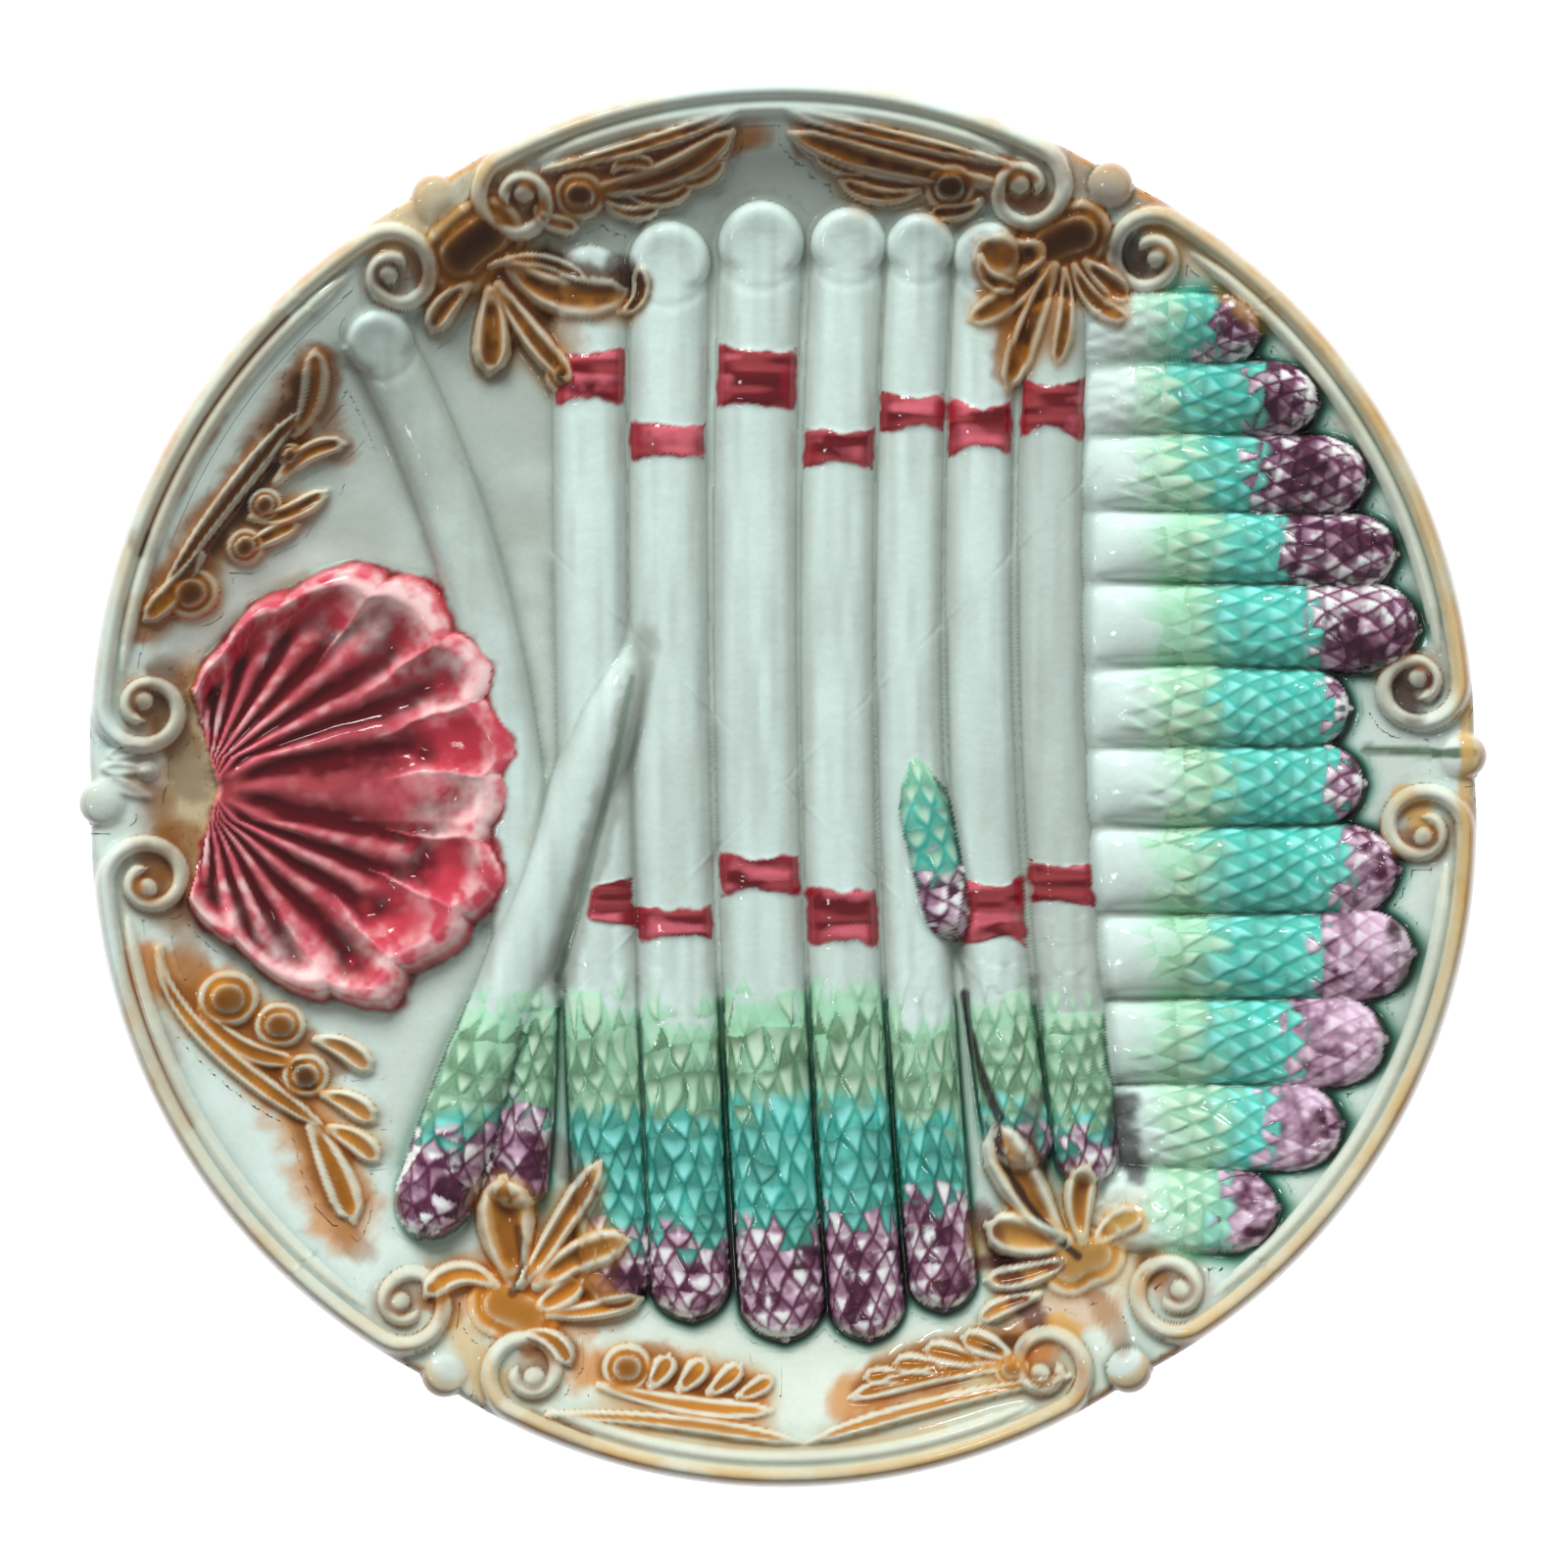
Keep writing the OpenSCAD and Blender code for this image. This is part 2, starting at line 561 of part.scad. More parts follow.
// A scallop cut off behind its hinge: ribs that fan out to a ruffled border
module shell_skin() {
    outs = [for (s = shell_rise_shares) s[0]];
    columns = len(outs);
    hinge = shell_hinge_share * plate_r;
    plan = [
        for (j = [0:shell_steps]) for (t = outs)
            let (a = shell_angle * (j / shell_steps - 0.5))
            hinge + t * shell_l * lookup(a, shell_reach_shares) * [cos(a), sin(a)]
    ];
    rise = [
        for (j = [0:shell_steps]) for (s = shell_rise_shares)
            shell_h * s[1] + shell_rib_h * cos(180 * j) * sin(180 * min(1, s[0]))
    ];
    upper = [for (k = [0:len(plan) - 1]) over(plan[k], max(edge_z, rise[k]))];
    lower = [for (p = plan) over(p, 0)];
    below = len(upper);
    rim = concat(
        [for (i = [0:columns - 1]) i],
        [for (j = [1:shell_steps]) j * columns + columns - 1],
        [for (i = [columns - 2:-1:0]) shell_steps * columns + i],
        [for (j = [shell_steps - 1:-1:1]) j * columns]
    );
    polyhedron(concat(upper, lower), concat(
        [for (j = [0:shell_steps - 1]) for (i = [0:columns - 2]) let (c = j * columns + i) each [
            [c, c + columns, c + 1],
            [c + 1, c + columns, c + columns + 1],
            [below + c, below + c + 1, below + c + columns],
            [below + c + 1, below + c + columns + 1, below + c + columns]
        ]],
        [for (k = [0:len(rim) - 1]) let (a = rim[k], b = rim[(k + 1) % len(rim)]) each [
            [a, b, below + a],
            [b, below + b, below + a]
        ]]
    ), convexity = 6);
}

module sauce_shell() {
    color([0.66, 0.16, 0.25]) joined() difference() {
        shell_skin();
        slanting_bar(seat_depth, shell_clearance);
        crossing_bar(seat_depth);
    }
}

module palmette(i) {
    color([0.72, 0.52, 0.26]) joined() difference() {
        union() {
            for (row = palmette_shares[i]) leaf(row, palmette_h);
        }
        for (k = palmette_spears[i]) spear_bar(k, seat_depth);
        if (i == 0 || i == 2) slanting_bar(seat_depth);
        if (i == 2) crossing_bar(seat_depth);
        if (i == 1) side_bar(0, seat_depth);
        if (i == 3) side_bar(side_spears - 1, seat_depth);
    }
}

module spray(i) {
    color([0.62, 0.42, 0.2]) joined()
        for (row = spray_shares[i]) leaf(row, spray_h);
}

plate_body();
foot_ring();
for (i = [0:len(lobe_names) - 1])
    rim_scroll(i);
for (i = [0:len(compass) - 1])
    rim_knob(i);
for (i = [0:spears - 1])
    spear(i);
slanting_spear();
crossing_spear();
loose_tip();
upper_tie();
lower_tie();
for (i = [0:side_spears - 1])
    side_spear(i);
sauce_shell();
for (i = [0:len(palmette_names) - 1])
    palmette(i);
for (i = [0:len(spray_names) - 1])
    spray(i);
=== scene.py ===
import math
import bpy
import numpy as np
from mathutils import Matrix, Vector


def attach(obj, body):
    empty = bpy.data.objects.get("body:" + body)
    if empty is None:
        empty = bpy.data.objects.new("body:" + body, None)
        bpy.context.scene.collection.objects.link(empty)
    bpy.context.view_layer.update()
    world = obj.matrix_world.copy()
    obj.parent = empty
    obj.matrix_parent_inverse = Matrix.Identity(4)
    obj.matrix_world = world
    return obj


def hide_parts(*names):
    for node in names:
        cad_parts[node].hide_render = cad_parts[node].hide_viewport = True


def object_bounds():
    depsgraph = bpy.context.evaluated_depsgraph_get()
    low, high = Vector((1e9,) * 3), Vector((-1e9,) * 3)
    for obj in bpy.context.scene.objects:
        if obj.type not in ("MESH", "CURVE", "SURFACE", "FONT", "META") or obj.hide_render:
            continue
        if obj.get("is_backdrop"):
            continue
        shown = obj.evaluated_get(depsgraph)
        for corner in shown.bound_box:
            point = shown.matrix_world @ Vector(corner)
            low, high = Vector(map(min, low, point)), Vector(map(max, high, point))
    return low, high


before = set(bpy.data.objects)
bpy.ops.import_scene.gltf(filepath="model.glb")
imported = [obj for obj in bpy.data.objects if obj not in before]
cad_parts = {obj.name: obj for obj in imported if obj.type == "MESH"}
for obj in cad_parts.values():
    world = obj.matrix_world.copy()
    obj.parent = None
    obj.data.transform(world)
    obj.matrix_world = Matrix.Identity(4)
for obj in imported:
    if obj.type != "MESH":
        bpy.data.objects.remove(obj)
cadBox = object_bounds()
print("frame loaded")

# Lengths below are in millimetres, places are shares of the plate's radius
mm = 0.001
plateRadius = (cadBox[1].y - cadBox[0].y) / 2 / mm

# Camera straight over the plate, long lens
view = {"distance": 1.5, "frameWidth": 0.27355, "sensor": 36, "rimHeight": 0.016, "aside": 0.00017}
cameraData = bpy.data.cameras.new("camera")
cameraData.sensor_width = view["sensor"]
cameraData.lens = view["sensor"] * view["distance"] / view["frameWidth"]
cameraData.clip_end = 20
camera = bpy.data.objects.new("camera", cameraData)
bpy.context.scene.collection.objects.link(camera)
camera.location = (view["aside"], -view["aside"], view["distance"] + view["rimHeight"])
bpy.context.scene.camera = camera

dish = {
    "lobeShift": 15, "wellRadius": 88, "coveRadius": 34, "browRadius": 20, "rimSlope": 38,
    "floorHeight": 11, "wall": 5, "lipRadius": 1.9, "knobRadius": 4,
    "lobeTurns": [91, 151.3, 211.2, 270.3, 331.3, 31.8],
    "knobTurns": [2.3, 61.3, 120.8, 181.7, 240.2, 300.5],
}
lobeRadius = plateRadius - dish["lobeShift"]
slope = math.radians(dish["rimSlope"])
coveEnd = dish["wellRadius"] + dish["coveRadius"] * math.sin(slope)
coveTop = dish["floorHeight"] + dish["coveRadius"] * (1 - math.cos(slope))
browEnd = coveEnd + dish["browRadius"] * math.sin(slope)
browBase = coveTop - dish["browRadius"] * math.cos(slope)


def smooth(low, high, x):
    # Smooth step from 0 at low to 1 at high
    t = np.clip((x - low) / (high - low), 0, 1)
    return t * t * (3 - 2 * t)


def clayHeight(r):
    # Flat floor, then a hollow arc up to the rim's slope, then a round arc over to level
    hollow = dish["floorHeight"] + dish["coveRadius"] - np.sqrt(
        dish["coveRadius"] ** 2 - np.clip(r - dish["wellRadius"], 0, coveEnd - dish["wellRadius"]) ** 2)
    brow = browBase + np.sqrt(dish["browRadius"] ** 2 - np.clip(browEnd - r, 0, browEnd - coveEnd) ** 2)
    return np.where(r < coveEnd, hollow, brow)


def reachOf(angle, turn, centre, radius):
    # Distance from the axis, at an angle, to the far side of a circle off the axis
    along = centre * np.cos(angle - np.radians(turn))
    under = radius ** 2 - centre ** 2 + along ** 2
    return np.where(under > 0, along + np.sqrt(np.maximum(under, 0)), 0)


def plateOutline(angle):
    # Farthest of the six lobes and the knobs between them
    reach = np.zeros_like(angle)
    for turn in dish["lobeTurns"]:
        reach = np.maximum(reach, reachOf(angle, turn, dish["lobeShift"], lobeRadius))
    for turn in dish["knobTurns"]:
        reach = np.maximum(reach, reachOf(angle, turn, plateRadius - dish["knobRadius"], dish["knobRadius"]))
    return reach


# One square grid pulled round to the plate's outline: rings of squares become rings of the plate,
# closer together at the lip
grid = {"half": 342, "bodyStep": 3, "lipRings": 7, "roundShare": 0.75, "strip": 4}
n = grid["half"]
gridI, gridJ = np.meshgrid(np.arange(-n, n + 1), np.arange(-n, n + 1), indexing="ij")
ring = np.maximum(abs(gridI), abs(gridJ))
safeI = np.where(gridI == 0, 1, gridI)
safeJ = np.where(gridJ == 0, 1, gridJ)
angle = np.where(
    abs(gridI) >= abs(gridJ),
    math.pi / 4 * gridJ / safeI + np.where(gridI < 0, math.pi, 0),
    math.pi / 2 - math.pi / 4 * gridI / safeJ + np.where(gridJ < 0, math.pi, 0))
lipStep = n - grid["lipRings"] * (1 - math.exp(-n / grid["lipRings"]))


def shareAt(rings):
    # Way out of a ring counted from the lip, as a share: even steps that shrink towards the lip
    return 1 - (rings - grid["lipRings"] * (1 - np.exp(-rings / grid["lipRings"]))) / lipStep


wayOut = shareAt((n - ring).astype(float))
outline = plateOutline(angle)
gridR = wayOut * (plateRadius + (outline - plateRadius) * smooth(grid["roundShare"], 1, wayOut))
gridX = gridR * np.cos(angle)
gridY = gridR * np.sin(angle)
fromEdge = outline - gridR
clay = clayHeight(gridR)
lipPast = np.clip(dish["lipRadius"] - fromEdge, 0, dish["lipRadius"])
base = clay - dish["lipRadius"] + np.sqrt(dish["lipRadius"] ** 2 - lipPast ** 2)
shareX = gridX / plateRadius
shareY = gridY / plateRadius
print("grid ready")

cell = plateRadius / n
relief = np.zeros_like(gridX)
owner = np.zeros(gridX.shape, int)
pieceNames = ["plate_body"]
# What each relief leaves beside its height: place across, seam of a scale or leaf, light middle of a
# scale or rib, random tone of a scale, way along
laid = {key: np.zeros(gridX.shape) for key in ("across", "seam", "light", "tone", "way")}


def neighbours(field):
    edged = np.pad(field, 1, mode="edge")
    return edged[2:, 1:-1], edged[:-2, 1:-1], edged[1:-1, 2:], edged[1:-1, :-2]


def even(field, times):
    # Averages each point with its neighbours, several times over
    for _ in range(times):
        east, west, north, south = neighbours(field)
        field = (field * 2 + east + west + north + south) / 6
    return field


def lowest(field, times):
    # Lowest value near each point
    for _ in range(times):
        field = np.minimum.reduce([field, *neighbours(field)])
    return field


def spread(field, reach):
    # Soft average over a reach in millimetres
    return even(field.astype(float), max(1, round(3 * (reach / cell) ** 2)))


def patches(x, y, size, seed):
    # Soft random patches of a given size, from -1 to 1: a lattice of random values joined smoothly
    lattice = np.random.default_rng(seed).uniform(-1, 1, (64, 64))
    u, v = x / size + 1000, y / size + 1000
    i, j = np.floor(u).astype(int), np.floor(v).astype(int)
    fu, fv = u - i, v - j
    fu, fv = fu * fu * (3 - 2 * fu), fv * fv * (3 - 2 * fv)
    corner = lambda a, b: lattice[(i + a) % 64, (j + b) % 64]
    return ((corner(0, 0) * (1 - fu) + corner(1, 0) * fu) * (1 - fv)
            + (corner(0, 1) * (1 - fu) + corner(1, 1) * fu) * fv)


def cloud(x, y, size, seed):
    # Patches over patches, each half the size
    return (patches(x, y, size, seed) + patches(x, y, size / 2, seed + 1) / 2
            + patches(x, y, size / 4, seed + 2) / 4) / 1.75


def bent(start, middle, end, spots=24):
    # Quadratic through three places
    t = np.linspace(0, 1, spots)[:, None]
    start, middle, end = (np.array(p) * plateRadius for p in (start, middle, end))
    return start * (1 - t) * (1 - 2 * t) + middle * 4 * t * (1 - t) + end * t * (2 * t - 1)


def near(path, reach):
    # Grid points near a path: their index, distance run along it, offset to its left, and its length
    low, high = path.min(0) - reach, path.max(0) + reach
    pick = np.flatnonzero((gridX > low[0]) & (gridX < high[0]) & (gridY > low[1]) & (gridY < high[1]))
    spots = np.stack([gridX.flat[pick], gridY.flat[pick]], 1)
    legs = np.diff(path, axis=0)
    lengths = np.linalg.norm(legs, axis=1)
    starts = np.concatenate([[0], np.cumsum(lengths)])
    best = np.full(len(pick), 1e9)
    run = np.zeros(len(pick))
    side = np.zeros(len(pick))
    for k in range(len(legs)):
        gap = spots - path[k]
        t = np.clip(gap @ legs[k] / lengths[k] ** 2, 0, 1)
        gap -= t[:, None] * legs[k]
        far = np.hypot(gap[:, 0], gap[:, 1])
        nearer = far < best
        best[nearer] = far[nearer]
        run[nearer] = starts[k] + t[nearer] * lengths[k]
        side[nearer] = np.sign(legs[k][0] * gap[nearer, 1] - legs[k][1] * gap[nearer, 0])
    return pick, run, side * best, starts[-1]


def nearSpot(centre, reach):
    # Grid points near a spot: their index and distance from it
    pick, _, side, _ = near(np.array([centre, centre + 0.01]), reach)
    return pick, side


def unpack(row):
    # Three places and a half width in thousandths, as shares; what follows stays
    return [*np.reshape(row[:6], (3, 2)) / 1000, row[6] / 1000, *row[7:]]


def number(name):
    if name not in pieceNames:
        pieceNames.append(name)
    return pieceNames.index(name)


def lay(name, pick, height, **extra):
    # A relief shows wherever it is the highest
    higher = height > np.maximum(relief.flat[pick], 0.02)
    spots = pick[higher]
    relief.flat[spots] = height[higher]
    owner.flat[spots] = number(name)
    for key, field in laid.items():
        field.flat[spots] = extra[key][higher] if key in extra else 0


def dome(q, power=0.5):
    # Round section: 1 in the middle, 0 at both sides
    return np.maximum(1 - np.minimum(abs(q), 1) ** 2, 0) ** power


scrolls = {
    "turns": [[91, 26.8, 26.6], [151.3, 25.3, 27.6], [211.2, 26.4, 25.8],
              [270.3, 27.4, 27.2], [331.3, 28.2, 27.3], [31.8, 26.8, 26.5]],
    "names": ["north", "north_west", "south_west", "south", "south_east", "north_east"],
    "beadHalf": 1.75, "beadHeight": 2.6, "inset": 0.3, "innerHalf": 1.25, "innerHeight": 1.6,
    "voluteRadius": 7.6, "eyeRadius": 2.2, "curl": 440, "taper": 0.3, "eyeHeight": 2.2,
    "eyeHalf": 2.1, "eyeLight": 1.4, "beadGap": 0.1, "endRun": 1.5, "innerShort": 3, "innerRun": 8,
}
knob = {
    "names": ["east", "north_east", "north_west", "west", "south_west", "south_east"],
    "height": 2.4, "half": 3.95, "share": 0.8, "lowShare": 0.5, "low": ["north_west", "south_west"],
}
beadMiddle = lobeRadius - scrolls["beadHalf"] - scrolls["inset"]


def fromLobe(reach, degrees, middle):
    # Place at a distance and an angle from a lobe's own centre
    a = np.radians(np.asarray(degrees, float) + middle)
    m = math.radians(middle)
    return np.stack([dish["lobeShift"] * math.cos(m) + reach * np.cos(a),
                     dish["lobeShift"] * math.sin(m) + reach * np.sin(a)], -1)


def volutePath(middle, end, way):
    # Spiral that shrinks from the bead to its eye
    t = np.linspace(0, 1, 44)
    r = scrolls["voluteRadius"] + (scrolls["eyeRadius"] - scrolls["voluteRadius"]) * t
    eye = fromLobe(beadMiddle - scrolls["voluteRadius"], way * end, middle)
    a = np.radians(middle + way * (end + scrolls["curl"] * t))
    return eye + r[:, None] * np.stack([np.cos(a), np.sin(a)], -1)


eyes = []
for (middle, leftEnd, rightEnd), place in zip(scrolls["turns"], scrolls["names"]):
    name = "rim_scroll_" + place
    arc = fromLobe(beadMiddle, np.linspace(-rightEnd, leftEnd, 40), middle)
    right = volutePath(middle, rightEnd, -1)
    left = volutePath(middle, leftEnd, 1)
    path = np.concatenate([right[:0:-1], arc, left[1:]])
    pick, run, side, length = near(path, 4)
    curlRun = np.linalg.norm(np.diff(left, axis=0), axis=1).sum()
    toEnd = np.minimum(run, length - run)
    share = 1 - scrolls["taper"] * (1 - np.clip(toEnd / curlRun, 0, 1))
    half = scrolls["beadHalf"] * share * np.sqrt(np.clip(toEnd / scrolls["endRun"], 0.05, 1))
    lay(name, pick, scrolls["beadHeight"] * share * dome(side / half), across=side / half,
        way=np.clip(toEnd / curlRun, 0, 1))
    innerTurns = np.linspace(scrolls["innerShort"] - rightEnd, leftEnd - scrolls["innerShort"], 40)
    innerReach = beadMiddle - scrolls["beadHalf"] - scrolls["innerHalf"] - scrolls["beadGap"]
    pick, run, side, length = near(fromLobe(innerReach, innerTurns, middle), 3)
    toEnd = np.minimum(run, length - run) / scrolls["innerRun"]
    half = scrolls["innerHalf"] * np.sqrt(np.clip(toEnd, 0.02, 1))
    lay(name, pick, scrolls["innerHeight"] * np.sqrt(np.clip(toEnd, 0, 1)) * dome(side / half),
        across=side / half, way=np.ones_like(run))
    for spiral in (right, left):
        centre = spiral[-24:].mean(0)
        eyes.append(centre)
        pick, side = nearSpot(centre, 3)
        lay(name, pick, scrolls["eyeHeight"] * dome(side / scrolls["eyeHalf"]),
            light=dome(side / scrolls["eyeLight"]))
for turn, place in zip(dish["knobTurns"], knob["names"]):
    centre = (plateRadius - dish["knobRadius"]) * np.array(
        [math.cos(math.radians(turn)), math.sin(math.radians(turn))])
    pick, side = nearSpot(centre, 6)
    tall = knob["height"] * knob["lowShare" if place in knob["low"] else "share"]
    lay("rim_knob_" + place, pick, tall * dome(side / knob["half"]), across=side / dish["knobRadius"])
print("rim moulded")

# Heights and lengths in millimetres, rounds at tip and start in half widths. Rows: start, middle and end
# of a spear's middle line, then its half width, all in thousandths of the plate's radius
asparagus = {
    "height": 4, "crossingHeight": 6.4, "looseHeight": 5.2, "scaleHeight": 0.75, "rowAtTip": 2.5,
    "rowGrowth": 0.07, "scalesAcross": 5.8, "headLength": 62, "swell": 1.13, "sideStart": 425,
    "sideOverlap": 30, "shortHead": 14, "scaleRows": 1.7, "rowWander": 0.35, "placeWander": 0.28,
    "tipRound": 1.3, "startRound": 0.9, "headWander": 0.12, "relieved": 0.35, "creaseAt": 1.08,
    "creaseDepth": 0.22,
    "upright": [
        [-274, 766, -271, 54, -239, -744, 53],
        [-161, 786, -161, 54, -130, -763, 57],
        [-29, 814, -38, 54, 3, -791, 60],
        [96, 807, 78, 54, 124, -791, 53],
        [198, 800, 181, 54, 232, -749, 48],
        [294, 786, 283, 54, 345, -554, 48],
        [392, 696, 387, 54, 442, -571, 48]],
    "side": [
        [451, 650, 570, 645, 675, 637, 46],
        [451, 553, 613, 549, 757, 538, 49],
        [451, 445, 652, 441, 826, 428, 53],
        [451, 339, 671, 336, 868, 324, 49],
        [451, 226, 685, 225, 900, 219, 57],
        [451, 107, 630, 107, 806, 105, 54],
        [451, -4, 640, -4, 826, -1, 54],
        [451, -124, 667, -124, 872, -124, 59],
        [462, -248, 678, -247, 892, -241, 58],
        [470, -370, 660, -370, 852, -364, 58],
        [500, -490, 650, -490, 790, -484, 56],
        [485, -607, 593, -607, 700, -604, 53]],
    "slanting": [-590, 656, -398, 82, -386, -610, 47],
    "crossing": [-201, 222, -360, -212, -518, -646, 51],
    "loose": [181, 66, 208, -80, 246, -222, 37],
}


def scaleNet(gap, q, scales, rowAtTip, seed):
    # Rows of pointed scales laid like roof tiles, each row half a scale aside of the last and wider
    # away from the tip. A scale stands off most at its point. Gives height, seam, light middle, tone
    growth = asparagus["rowGrowth"]
    bend = patches(gap, q * 9, 6, seed)
    row = np.log1p(growth * np.maximum(gap, 0) / rowAtTip) / growth + asparagus["rowWander"] * bend
    turned = (np.arcsin(np.clip(q, -0.999, 0.999)) / math.pi * scales
              + asparagus["placeWander"] * patches(gap + 40, q * 9, 5, seed + 2))
    k = np.floor(row)
    t = (row - k) / asparagus["scaleRows"]
    place = turned + 0.5 * (k % 2)
    v = place % 1 - 0.5
    width = 0.5 * np.clip(t / 0.5, 0, 1) ** 0.75
    edge = width - abs(v)
    over = smooth(0, 0.12, edge)
    underPlace = turned + 0.5 * ((k + 1) % 2)
    under = underPlace % 1 - 0.5
    high = (1 - 0.6 * t) + 0.3 * (0.5 - abs(v))
    low = 0.55 * (1 - t) + 0.1 * (0.5 - abs(under))
    dice = np.random.default_rng(seed).uniform(-1, 1, (97, 31))
    own = dice[k.astype(int) % 97, np.floor(place).astype(int) % 31]
    lower = dice[(k.astype(int) + 1) % 97, np.floor(underPlace).astype(int) % 31]
    foot = smooth(0.22, 0.6, t) * smooth(0, 0.2, edge)
    hollow = smooth(0, 0.25, -edge) * smooth(0.02, 0.3, 0.5 - abs(under) + 0.1 * t)
    seam = ((0.5 * np.exp(-(edge / 0.11) ** 2) + 0.7 * foot + 0.6 * hollow)
            * np.clip(0.8 + 0.6 * patches(gap, q * 9, 3, seed + 5) - 0.25 * own, 0, 1))
    light = np.where(edge > 0, smooth(0.04, 0.22, edge) * (1 - smooth(0.4, 0.72, t)),
                     0.35 * smooth(0.1, 0.3, 0.5 - abs(under)) * smooth(0, 0.2, -edge))
    return low + (high - low) * over, seam, light, np.where(edge > 0, own, lower)


def quarterRound(t):
    # Quarter circle from 0 up to 1
    return np.sqrt(np.clip(1 - (1 - np.clip(t, 0, 1)) ** 2, 0, 1))


def laySpear(name, row, height, head, butt, scales, rowAtTip, seed):
    # A round head with scales that runs into a flatter stalk. Its start is cut off round, fades into
    # what lies under it, or rises flush from the clay
    *places, halfShare = unpack(row)
    half = halfShare * plateRadius
    pick, run, side, length = near(bent(*places, spots=28), half * asparagus["swell"] + 1)
    gap = length - run
    tipShare = quarterRound(gap / (half * asparagus["tipRound"]))
    swelled = 1 + (asparagus["swell"] - 1) * (1 - smooth(head * 0.55, head * 1.05, gap))
    width = half * swelled * (0.12 + 0.88 * tipShare)
    if butt == "cut":
        start = quarterRound(run / (half * asparagus["startRound"]))
        width = np.minimum(width, half * (0.1 + 0.9 * start))
    elif butt == "fade":
        width = width * (0.5 + 0.5 * smooth(0, half * 3, run))
    q = side / width
    stalk = smooth(head * 0.7, head * 1.15, gap)
    section = dome(q, 0.5) * (1 - stalk) + (0.5 * dome(q, 1) + 0.4 * dome(abs(q) ** 4, 1)) * stalk
    tall = height * (width / half) ** 0.6 * section
    if butt == "fade":
        tall = tall * smooth(-half, half * (2 if name == "crossing_spear" else 1), run)
    if butt == "flush":
        tall = tall * smooth(-4, 9, run)
    tiles, seam, light, tone = scaleNet(gap, q, scales, rowAtTip, seed)
    head = head * (1 + asparagus["headWander"] * tone)
    shown = (1 - smooth(head * 0.8, head, gap)) * (abs(q) < 1)
    lift = asparagus["scaleHeight"] * shown * dome(q, 0.35) * smooth(0, 3, gap)
    tall = tall + lift * (tiles - asparagus["relieved"])
    lay(name, pick, tall, across=np.clip(q, -1, 1), seam=seam * shown, light=light * shown, tone=tone)


def layButt(name, row, height):
    # The round face of a cut stalk: a shallow disc with a soft rim and a faint crease below it
    *places, halfShare = unpack(row)
    half = halfShare * plateRadius
    path = bent(*places, spots=28)
    way = (path[1] - path[0]) / np.linalg.norm(path[1] - path[0])
    centre = path[0] + way * half * 0.75
    pick, side = nearSpot(centre, half * 1.6)
    q = abs(side) / (half * 1.02)
    face = height * (0.9 + 0.1 * np.clip(q, 0, 1) ** 2) * dome(np.clip(q, 0, 1) ** 3, 0.6)
    lay(name, pick, face)
    crease = np.exp(-((q - asparagus["creaseAt"]) / 0.11) ** 2) * asparagus["creaseDepth"]
    offX = gridX.flat[pick] - centre[0]
    offY = gridY.flat[pick] - centre[1]
    below = smooth(-0.2, 0.6, (offX * way[0] + offY * way[1]) / half)
    own = owner.flat[pick] == number(name)
    relief.flat[pick] = relief.flat[pick] - crease * below * own
    laid["seam"].flat[pick] = np.maximum(laid["seam"].flat[pick], crease * below * own)


for i, row in enumerate(asparagus["side"]):
    start = max(asparagus["sideStart"], row[0] - asparagus["sideOverlap"])
    laySpear(f"side_spear_{i + 1}", [start] + row[1:], asparagus["height"] * 0.97,
             head=42, butt="flush", scales=6.4, rowAtTip=2.1, seed=40 + i)
for i, row in enumerate(asparagus["upright"]):
    name = f"spear_{i + 1}"
    shorter = asparagus["shortHead"] if i > 4 else 0
    laySpear(name, row, asparagus["height"], head=asparagus["headLength"] - shorter, butt="cut",
             scales=asparagus["scalesAcross"], rowAtTip=asparagus["rowAtTip"], seed=60 + i)
    if i not in (0, 6):
        layButt(name, row, asparagus["height"] * 0.96)
laySpear("slanting_spear", asparagus["slanting"], asparagus["height"],
         head=40, butt="cut", scales=4.6, rowAtTip=2.5, seed=80)
layButt("slanting_spear", asparagus["slanting"], asparagus["height"] * 0.95)
laySpear("crossing_spear", asparagus["crossing"], asparagus["crossingHeight"],
         head=44, butt="fade", scales=5, rowAtTip=2.5, seed=81)
laySpear("loose_tip", asparagus["loose"], asparagus["looseHeight"],
         head=34, butt="fade", scales=4, rowAtTip=2.2, seed=82)
print("asparagus laid")

